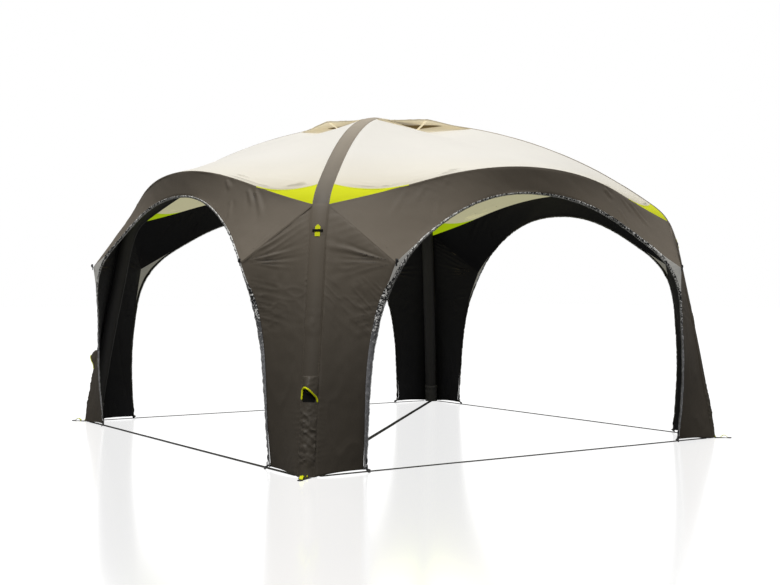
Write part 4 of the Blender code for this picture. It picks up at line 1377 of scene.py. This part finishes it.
def trim_line(edge, at):
    """A line in the trim: 0 at the cloth's edge, 1 at the zip's outer edge, 2 at the opening."""
    run = np.gradient(edge, axis=0)
    run /= np.linalg.norm(run, axis=1, keepdims=True)
    kernel = np.hanning(2 * TRIM_SOFTENING + 1)
    kernel /= kernel.sum()
    padded = np.pad(run, ((TRIM_SOFTENING, TRIM_SOFTENING), (0, 0)), mode="edge")
    soft = np.stack([np.convolve(padded[:, i], kernel, "valid") for i in range(3)], axis=-1)
    across = np.stack([np.zeros(len(edge)), -soft[:, 2], soft[:, 1]], axis=-1)
    across /= np.linalg.norm(across, axis=1, keepdims=True)
    apart = [np.linalg.norm(edge - shoulder, axis=1) for shoulder in (SHOULDER, SHOULDER * FLIP)]
    near = np.maximum(0.0, 1 - np.minimum(*apart) / GUSSET_REACH)
    trim = TRIM_WIDTH * (0.80 + 0.20 * smooth((1.60 - edge[:, 2]) / 0.25))
    width = GUSSET_WIDTH * near**2 * min(at, 1) + trim * max(at - 1, 0)
    turn = np.zeros_like(edge)
    turn[:, 0] = -TRIM_TURN * (TRIM_LEAN + near)
    moved = edge + (across + turn) * width[:, None]
    moved[:, 2] = np.maximum(moved[:, 2], HEM_Z)
    return moved, near


def film_width(edge, toward_camera):
    """How much of the trim the film covers: most on the leg nearest the camera, least on the head by it."""
    head = smooth((edge[:, 2] - 1.40) / 0.15)
    nearer = smooth(0.5 + 2 * toward_camera * edge[:, 1])
    return (0.50 + 0.50 * nearer) * (1 - head) + (0.70 - 0.25 * nearer) * head


def lapped(edge, outer, back, near):
    """The film's inner line: its overlap measured back from the zip, over the gusset and then the cloth."""
    gusset = np.linalg.norm(outer - edge, axis=1)[:, None]
    lap = np.maximum(np.linalg.norm(back - edge, axis=1)[:, None], 1e-6)
    shorter = lap * (1 - 0.62 * smooth((near**2 - 0.12) / 0.35))[:, None]
    on_gusset = outer + (edge - outer) * shorter / np.maximum(gusset, lap)
    on_cloth = edge + (back - edge) * np.clip(1 - gusset / lap, 0, 1)
    return np.where(gusset > lap, on_gusset, on_cloth)


def forward_normals(points):
    """A grid's normals, turned to face out of the right side's opening."""
    normals = grid_normals(points)
    return np.where(normals[..., :1] < 0, -normals, normals)


def door_trim(side, quarter):
    """The crumpled film over the zip, with a wavy free edge, and what is sewn beside it."""
    overlaps = {"right": (LAP_FAR, LAP_NEAR), "front": (LAP_NEAR, LAP_FAR)}
    edge, back = doorway_edge(*overlaps.get(side, (LAP_FAR, LAP_FAR)))
    outer, near = trim_line(edge, 1)
    toward_camera = {"right": -1, "front": 1}.get(side, 0)
    inner = outer + (trim_line(edge, 2)[0] - outer) * film_width(edge, toward_camera)[:, None]
    back = lapped(edge, outer, back, near)
    along = lengths_from(edge[:, None], 0)
    half = np.linspace(0, 1, TRIM_COLUMNS)[None, :]
    wave = 1 + 0.09 * noise(along / 0.03, 0.5, 500 + quarter)
    over = back[:, None] + (outer - back)[:, None] * half[:, :-1, None]
    beyond = outer[:, None] + (inner - outer)[:, None] * (half * (1 + (wave - 1) * half))[..., None]
    points = np.concatenate([over, beyond], axis=1)
    share = np.linspace(0, 1, points.shape[1])[None, :]
    low = 1 + 0.8 * np.exp(-edge[:, 2:] / 0.10)
    wild = noise(along / 0.024, share * 3, 505 + quarter)
    wild += 0.6 * noise(along / 0.012, share * 5, 510 + quarter)
    height = FILM_CRUMPLE * low * (wild + 1.2) * smooth(share / 0.25)
    height += FILM_RISE * smooth((0.85 - share) / 0.3)
    looks, nodes, rests_on = ("zip", "zip_inside"), [f"door_trim_{side}"], [f"arch_panel_{side}"]
    normals = forward_normals(points)
    made = panel(f"zip_flap_{side}", quarter, points, height, looks, "zip_tape", nodes, normals)
    gussets(side, quarter, edge, near)
    zip_teeth(side, quarter, made[:, -1])


def gussets(side, quarter, edge, near):
    """The light grey cloth that fills the corner between each shoulder and the zip."""
    used = np.flatnonzero(near > GUSSET_FROM)
    groups = np.split(used, np.flatnonzero(np.diff(used) > 1) + 1)
    lines = [trim_line(edge, at)[0] for at in np.linspace(0, 1, 9)]
    looks, rests_on = ("gusset", "gusset"), [f"zip_flap_{side}"]
    for word, group in zip(("back", "front"), groups):
        points = np.stack([line[group] for line in lines], axis=1)
        height = wrinkles(lengths_from(points, 0), lengths_from(points, 1), GUSSET_CREASES, 20, 520 + quarter)
        height *= edge_fade(points.shape[:2], 2)
        name, normals = f"gusset_{side}_{word}", forward_normals(points)
        panel(name, quarter, points, height, looks, "zip_tape", normals=normals)


def zip_teeth(side, quarter, free_edge):
    """The zip's teeth along the opening's edge, and a slider with its pull at both feet."""
    line = resampled(free_edge, TOOTH_PITCH)
    run, side_way, up = frames_along(line, np.broadcast_to(AHEAD, line.shape))
    signs = np.array([(i, j, k) for i in (-1, 1) for j in (-1, 1) for k in (-1, 1)]) * np.array(TOOTH)
    axes = np.stack([run, side_way, up], axis=1)
    vertices = (line[:, None] + np.einsum("kc,ncd->nkd", signs, axes)).reshape(-1, 3)
    vertices[:, 2] = np.maximum(vertices[:, 2], 0.001)
    box = np.array([(0, 1, 3, 2), (4, 6, 7, 5), (0, 4, 5, 1), (2, 3, 7, 6), (0, 2, 6, 4), (1, 5, 7, 3)])
    quads = (box[None] + 8 * np.arange(len(line))[:, None, None]).reshape(-1, 4)
    parts = [("teeth", (vertices, quads))]
    for end, inner in ((line[4], line[9]), (line[-5], line[-10])):
        parts.append(("plastic", bead(end, inner, SLIDER_RADIUS, AHEAD)))
        pull = bead(end + (0.008, 0, 0), end + (0.010, 0, -PULL_DROP), PULL_RADIUS, AHEAD)
        parts.append(("plastic", pull))
    piece(f"zip_teeth_{side}", quarter, parts, "zip_tape", sharp=30)


# Seams


def tape(look, lines):
    """A tape along the middle one of three lines: its look, mesh, flat coordinates and length."""
    lines = np.asarray(lines, float)
    outline = strap_outline(TAPE_WIDTH, TAPE)
    along = lengths_from(lines[1], 0)
    flat = np.stack(np.broadcast_arrays(along[:, None], outline[None, :, 0]), axis=-1)
    return look, swept(lines[1], grid_normals(lines)[1], outline), flat.reshape(-1, 2), along[-1]


def side_tapes():
    """The seams of the right side: its eave, middle, both shoulders, the lime corners and the vent cap."""
    share, middle = np.linspace(-1, 1, 150), np.linspace(0.02, 0.98, 12)
    tapes = [tape("dark_seam", [arch_surface(share, down) for down in (0.0, 0.018, 0.036)])]
    tapes.append(tape("dark_seam", [arch_surface(side, middle) for side in (-0.004, 0.0, 0.004)]))
    across = np.linspace(-1, -LEG_BAND, 40)
    for flip in (1, FLIP):
        tapes.append(tape("dark_seam", [leg_surface(across, up) * flip for up in (0.990, 0.995, 1.0)]))
    corner = np.linspace(LIME_SHARE, 1, 40)
    for sign in (-1, 1):
        lines = [roof_point(sign * corner, lime_down(corner) + step) for step in (-0.001, 0.0012, 0.0035)]
        tapes.append(tape("lime_seam", lines))
    share = np.linspace(-0.99, 0.99, 60)
    lines = [roof_point(share, cap_down(share) + step) for step in (-0.012, -0.006, 0.0)]
    tapes.append(tape("tan_seam", lines))
    return tapes


def corner_tapes():
    """The seams on both edges of the back right sleeve, on its leg and on the roof."""
    tapes = []
    for sign in (-1, 1):
        places = sign * (BAND_HALF - TAPE_WIDTH / 2 + np.array((-0.002, 0.0, 0.002)))
        on_leg, on_roof = np.linspace(CROWN_TIP, 1, 90), crown_share(np.linspace(0.01, 1, 90))
        tapes.append(tape("dark_seam", [band_point(on_leg, cross) for cross in places]))
        tapes.append(tape("band_seam", [band_point(on_roof, cross) for cross in places]))
    return tapes


def seams(side, quarter):
    """All the seam tapes of one side and its corner, as one piece."""
    looks, meshes, flats, lengths = zip(*(side_tapes() + corner_tapes()))
    cut = np.concatenate(flats)
    obj = piece(f"seam_tapes_{side}", quarter, list(zip(looks, meshes)), "dark_fabric", cut=cut)


# Small pieces on the legs

# Pieces on the leg: heights with half widths, how far off the cloth, how thick, and columns
GUY_PATCH = (((1.620, 0.046), (1.566, 0.046)), 0.0028, 0.0012, 13)
GUY_LOOP = (((1.634, 0.002), (1.620, 0.0175), (1.554, 0.0175)), 0.0042, 0.0018, 9)
GUY_BAR = (((1.601, 0.036), (1.584, 0.036)), 0.0062, 0.0020, 13)
# The valve's hole is a black patch, drawn wide enough to stand also for the shade under the hood's mouth:
# partly painted shade
VALVE_HOLE_AND_SHADE = (((0.600, 0.035), (0.5385, 0.050), (0.477, 0.040)), 0.0006, 0.0012, 9)
VALVE_RING_Z = 0.555
VALVE_RING = (0.020, 0.0035)
BINDING = 0.0110
BINDING_THICKNESS = 0.0045
TOGGLE_LENGTH = 0.030
TOGGLE_RADIUS = 0.008
TOGGLE_CORD = 0.0022
TOGGLE_BAND = (0.014, 0.0022)
TOGGLE_BAND_LENGTH = 0.05
TACK = 0.007


def patch(rows, lift, thickness, columns):
    """A thin piece on the leg's sleeve, through rows of height and half width, as vertices and quads."""
    rows = np.asarray(rows, float)
    runs = [np.linspace(start, end, 5)[:-1] for start, end in zip(rows[:-1, 0], rows[1:, 0])]
    z = np.concatenate(runs + [rows[-1:, 0]])
    half = np.interp(-z, -rows[:, 0], rows[:, 1])
    share = crown_at_height(z)[:, None]
    points = band_point(share, half[:, None] * np.linspace(-1, 1, columns)[None, :])
    normal = crown_normal(share)
    outwards = np.broadcast_to(from_diagonal(normal[..., 0], 0.0, normal[..., 1]), points.shape)
    return shell(points + outwards * (lift + thickness), outwards, thickness)[:2]


def guy_point(corner, quarter):
    """The guy line's anchor on the sleeve: webbing, a lime loop through it and a dark bar over the loop."""
    parts = [("dark_seam", patch(*GUY_PATCH)), ("lime", patch(*GUY_LOOP)), ("black", patch(*GUY_BAR))]
    piece(f"guy_point_{corner}", quarter, parts, "black_webbing")


def valve_surface(side, row, gape=1.0):
    """Points of the hood over a valve: side from -1 to 1 across, row from its sewn top to its open mouth."""
    side, row = np.broadcast_arrays(np.asarray(side, float), np.asarray(row, float))
    top = crown_at_height(VALVE_Z[0])
    low = crown_at_height(VALVE_Z[1] + gape * np.interp(side, VALVE_COLUMNS, VALVE_MOUTH))
    share = top + (low - top) * row
    bulge = VALVE_LIFT * gape * row**VALVE_RISE * (1 - np.abs(side) ** VALVE_FALL)
    normal = crown_normal(share)
    lift = from_diagonal(normal[..., 0], 0.0, normal[..., 1]) * (VALVE_CLEAR + bulge)[..., None]
    return band_point(share, VALVE_SHIFT + VALVE_HALF * side) + lift


def valve_hood(corner, quarter):
    """The flap over a beam's valve, with a lime binding round its mouth, over the hole and the valve; the
    hole's black patch reaches below the mouth as painted shade.
    """
    side = np.sort(np.concatenate([np.linspace(-1, 1, 33), (-0.93, -0.88, 0.88, 0.93)]))
    gape = VALVE_GAPE.get(corner, 1.0)
    points = valve_surface(side[None, :], np.linspace(0, 1, 24)[:, None], gape)
    across, along = lengths_from(points, 1), lengths_from(points, 0)
    # The open mouth is longer than the flap is wide, so its width is measured halfway down
    height = wrinkles(np.abs(across - VALVE_HALF), along, VALVE_CREASES, 50, 700 + quarter)
    height = height * np.exp(-along / 0.06) + swells(across, along, VALVE_SWELLS, 705 + quarter)
    height *= edge_fade(points.shape[:2], 3)
    looks, nodes, rests_on = ("dark", "black"), [f"valve_hood_{corner}"], [f"leg_cloth_{corner}"]
    panel(f"valve_cloth_{corner}", quarter, points, height, looks, "dark_fabric", nodes)
    edge = resampled(valve_surface(np.linspace(-0.98, 0.98, 400), 1.0, gape), 0.004)
    outwards = from_diagonal(1.0, 0.0, 0.25)
    parts = [("lime", swept(edge + outwards * 0.0004, outwards, strap_outline(BINDING, BINDING_THICKNESS)))]
    for end in (edge[0], edge[-1]):
        tack = bead(end + UP * TACK * 0.4, end - UP * TACK * 1.2, TACK * 0.6, (1.0, 1.0, 0.0))
        parts.append(("lime", tack))
    piece(f"valve_binding_{corner}", quarter, parts, "lime_fabric")
    middle = band_point(crown_at_height(VALVE_RING_Z), 0.0) + OUT * 0.003
    parts = [("black", patch(*VALVE_HOLE_AND_SHADE)), ("plastic", torus(middle, CROSS, UP, *VALVE_RING))]
    piece(f"valve_{corner}", quarter, parts, "black_webbing")


def toggles(side, quarter):
    """A toggle on a short loop at each shoulder of a doorway, which holds the rolled door."""
    share = np.linspace(0, 1, 20)
    parts = []
    for turn in (np.ones(3), FLIP):
        root = (SHOULDER + (0.004, 0.0, 0.0)) * turn
        knob = root + np.array((0.008, -0.002, 0.011)) * turn
        half = UP * TOGGLE_LENGTH / 2
        parts.append(("plastic", bead(knob - half, knob + half, TOGGLE_RADIUS, AHEAD)))
        bow = np.array((0.006, -0.010, 0.0)) * turn
        loop = root + (knob - root) * share[:, None] + bow * np.sin(math.pi * share)[:, None]
        parts.append(("webbing", swept(loop, UP, circle_outline(TOGGLE_CORD, 8))))
        band = root + UP * ((share - 0.5) * TOGGLE_BAND_LENGTH)[:, None]
        parts.append(("webbing", swept(band, AHEAD, strap_outline(*TOGGLE_BAND))))
    piece(f"toggles_{side}", quarter, parts, "black_webbing")


# Beams, boots and webbing

BEAM_ROWS = 250
BEAM_SIDES = 32
BEAM_SKIN = 0.0016
BEAM_FOLD = 0.0014
BEAM_TAPE = (0.022, 0.0012)
DIP_FROM = 0.85
DIP_FULL = 0.12
BOOT_FOLD = 0.0022
CUFF_FROM = 0.80
STRAP_STEP = 0.03
STRAP_OUT = 0.010
STRAP_WAVE = 0.0006
STRAP_GAP = 0.001
HEM_TAB_Z = 0.034
HEM_TAB_REACH = 0.042
HEM_TAB_WIDTH = 0.034
PULL_PLACE = (0.055, 0.004)
PULL_HALF_WIDTHS = (0.015, 0.011)
PULL_THICKNESS = 0.004
PULL_RISE = 0.016


def beam_line(share, under):
    """A beam's middle line in its diagonal plane. The one that passes under dips at the top."""
    inset = BEAM_INSET + (FOOT_INSET - BEAM_INSET) * footward(share)
    line = CROWN_AT(share) - crown_normal(share) * inset[..., None]
    if under:
        fade = smooth((DIP_FROM - np.abs(line[..., 0])) / (DIP_FROM - DIP_FULL))
        line[..., 1] -= (2 * BEAM_RADIUS + 0.0003) * fade
    return line


def boot_seat():
    """Where a beam meets its boot: the crown's share, the place and the beam's rise there."""
    shares = np.linspace(0.9, 1.0, 400)
    share = float(np.interp(-BOOT_HEIGHT, -beam_line(shares, False)[:, 1], shares))
    above, top, below = beam_line(share + np.array((-0.001, 0.0, 0.001)), False)
    rise = above - below
    return share, top, rise / np.linalg.norm(rise)


def boot_out(z):
    """How far out the middle line of a boot lies at a height."""
    _, top, rise = boot_seat()
    return top[0] - rise[0] / rise[1] * (top[1] - z)


def tube_outline(radius, turns):
    """The (side, up) points of a tube, from its radius at each turn about its middle."""
    return np.stack([radius * np.sin(turns), radius * np.cos(turns)], axis=-1)


def air_beam(node, quarter, under):
    """An air beam in its black sleeve, with faint cross folds and a tape along its underside."""
    end = boot_seat()[0]
    line = beam_line(np.linspace(end, 1 - end, BEAM_ROWS), under)
    path = from_diagonal(line[:, 0], 0.0, line[:, 1])
    turns = np.arange(BEAM_SIDES) * 2 * math.pi / BEAM_SIDES
    folds = BEAM_FOLD * noise(lengths_from(path, 0)[:, None] / 0.05, turns[None, :] * 2.2, 600 + quarter)
    run = np.gradient(path, axis=0)
    upward = np.cross(np.broadcast_to(CROSS, run.shape), run)
    upward /= np.linalg.norm(upward, axis=1, keepdims=True)
    under_tape = path - upward * (BEAM_RADIUS - 0.0004)
    sleeve = swept(path, upward, tube_outline(BEAM_RADIUS - BEAM_SKIN + folds, turns))
    parts = [("beam", sleeve), ("beam", swept(under_tape, -upward, strap_outline(*BEAM_TAPE)))]
    piece(f"{node}_sleeve", quarter, parts, "beam_film", node)


def beam_boot(corner, quarter):
    """The cuffed boot at a beam's foot, a little crumpled."""
    top = boot_seat()[1]
    foot = boot_out(0.0)
    steps = np.linspace(0, 1, 30)
    path = from_diagonal(foot + (top[0] - foot) * steps, 0.0, top[1] * steps)
    radius = BOOT_RADIUS + (CUFF_RADIUS - BOOT_RADIUS) * smooth((steps - CUFF_FROM) / 0.05)
    radius = radius - 0.003 * smooth((steps - 0.985) / 0.015) + 0.0015 * smooth((0.06 - steps) / 0.06)
    turns = np.arange(BEAM_SIDES) * 2 * math.pi / BEAM_SIDES
    folds = BOOT_FOLD * noise(steps[:, None] * 7, turns[None, :] * 2.0, 620 + quarter)
    folds *= zone(steps, 0.0, 0.15, CUFF_FROM, 0.1)[:, None]
    vertices, quads = swept(path, OUT, tube_outline(radius[:, None] + folds, turns))
    vertices[:BEAM_SIDES, 2] = 0.0
    parts = [("boot", (vertices, quads))]
    piece(f"beam_boot_cloth_{corner}", quarter, parts, "beam_film", f"beam_boot_{corner}")


def strap(name, quarter, start, end, seed):
    """A webbing along the ground that lies in slow, low waves."""
    start, end = np.asarray(start, float), np.asarray(end, float)
    length = np.linalg.norm(end - start)
    share = np.linspace(0, 1, int(length / STRAP_STEP))
    path = start + (end - start) * share[:, None]
    wave = STRAP_WAVE * (1 + noise(share * length / 0.22, 1.5, seed))
    path[:, 2] += wave * zone(share, 0.0, 0.05, 1.0, 0.05)
    made = swept(path, UP, strap_outline(WEBBING_WIDTH, WEBBING))
    piece(f"strap_{name}", quarter, [("webbing", made)], "black_webbing", f"ground_strap_{name}", sharp=50)


def straps():
    """The webbing along the ground from boot to boot: four sides and one diagonal."""
    inner = SIDE_HALF - WEBBING_WIDTH
    boot = boot_out(0.0) / ROOT_TWO
    reach = boot - math.sqrt(BOOT_RADIUS**2 - (inner - boot) ** 2) - STRAP_GAP
    x = SIDE_HALF - WEBBING_WIDTH / 2 + STRAP_OUT
    for quarter, side in enumerate(SIDES):
        strap(side, quarter, (x, -reach, 0), (x, reach, 0), 640 + quarter)
    reach = boot_out(WEBBING) - BOOT_RADIUS - STRAP_GAP
    strap("diagonal", 1, -reach * OUT, reach * OUT, 650)


def ground_patch(start, end, widths, thickness, lift=0.0):
    """A flat piece of webbing on the ground between two points, with a half width at each end."""
    share = np.linspace(0, 1, 12)
    path = start + (end - start) * share[:, None]
    path[:, 2] += lift * np.sin(math.pi * share)
    half = widths[0] + (widths[1] - widths[0]) * share
    outline = strap_outline(1.0, 1.0)[None] * np.stack([2 * half, 0 * half + thickness], axis=-1)[:, None]
    return swept(path, UP, outline)


def peg_tab(corner, quarter):
    """The webbing tab at a corner with its dark ring, a lime pull, and two lime tacks on the sleeve's tip."""
    start = FOOT_OUT - TAB_TUCK
    end = start + TAB_LENGTH
    middle = OUT * (end + RING_RADIUS - RING_WIRE) + UP * RING_WIRE
    parts = [("webbing", ground_patch(OUT * start, OUT * end, (TAB_WIDE, TAB_NARROW), WEBBING))]
    parts.append(("plastic", torus(middle, OUT, CROSS, RING_RADIUS, RING_WIRE)))
    first, last = (OUT * (end - back) + UP * (WEBBING + 0.003) for back in PULL_PLACE)
    parts.append(("lime", ground_patch(first, last, PULL_HALF_WIDTHS, PULL_THICKNESS, PULL_RISE)))
    for sign in (-1, 1):
        spot = band_point(crown_at_height(0.012), sign * 0.016) + OUT * 0.002
        parts.append(("lime", bead(spot - UP * TACK, spot + UP * TACK, TACK * 0.55, OUT)))
    piece(f"peg_tab_cloth_{corner}", quarter, parts, "black_webbing", f"peg_tab_{corner}")


def hem_tabs(corner, quarter):
    """The short webbing tails that hang from the two flaps' lower corners to the straps."""
    share = np.linspace(0, 1, 14)
    top = flap_point(HEM_TAB_Z / FLAP_EDGE[-1][0])
    path = top + np.array((0.022, -HEM_TAB_REACH, 0.0)) * share[:, None]
    path[:, 2] = HEM_TAB_Z + (HEM_Z - HEM_TAB_Z) * smooth(share)
    width = 0.6 + 0.4 * smooth((share - 0.4) / 0.4)
    outline = strap_outline(HEM_TAB_WIDTH, 2 * WEBBING)[None] * width[:, None, None]
    parts = [("webbing", swept(path, (1.0, -0.2, 0.6), outline))]
    parts.append(("webbing", swept(path[:, [1, 0, 2]], (-0.2, 1.0, 0.6), outline)))
    piece(f"hem_tabs_{corner}", quarter, parts, "black_webbing")


def main():
    """Builds the stage and every piece, side by side and corner by corner."""
    make_camera()
    make_materials()
    make_stage()
    for quarter, (side, corner) in enumerate(zip(SIDES, CORNERS)):
        leg_panel(corner, quarter)
        arch_panel(side, quarter)
        roof_panel(side, quarter)
        lime_panel(corner, side, quarter, 1)
        lime_panel(CORNERS[quarter - 1], side, quarter, -1)
        roof_band(corner, quarter)
        vent_panel(side, quarter)
        vent_hood(side, quarter)
        door_trim(side, quarter)
        seams(side, quarter)
        toggles(side, quarter)
        guy_point(corner, quarter)
        beam_boot(corner, quarter)
        peg_tab(corner, quarter)
        hem_tabs(corner, quarter)
        if corner.startswith("front"):
            valve_hood(corner, quarter)
    crown_patch()
    air_beam("air_beam_front_left_to_back_right", 0, True)
    air_beam("air_beam_front_right_to_back_left", 1, False)
    straps()


main()
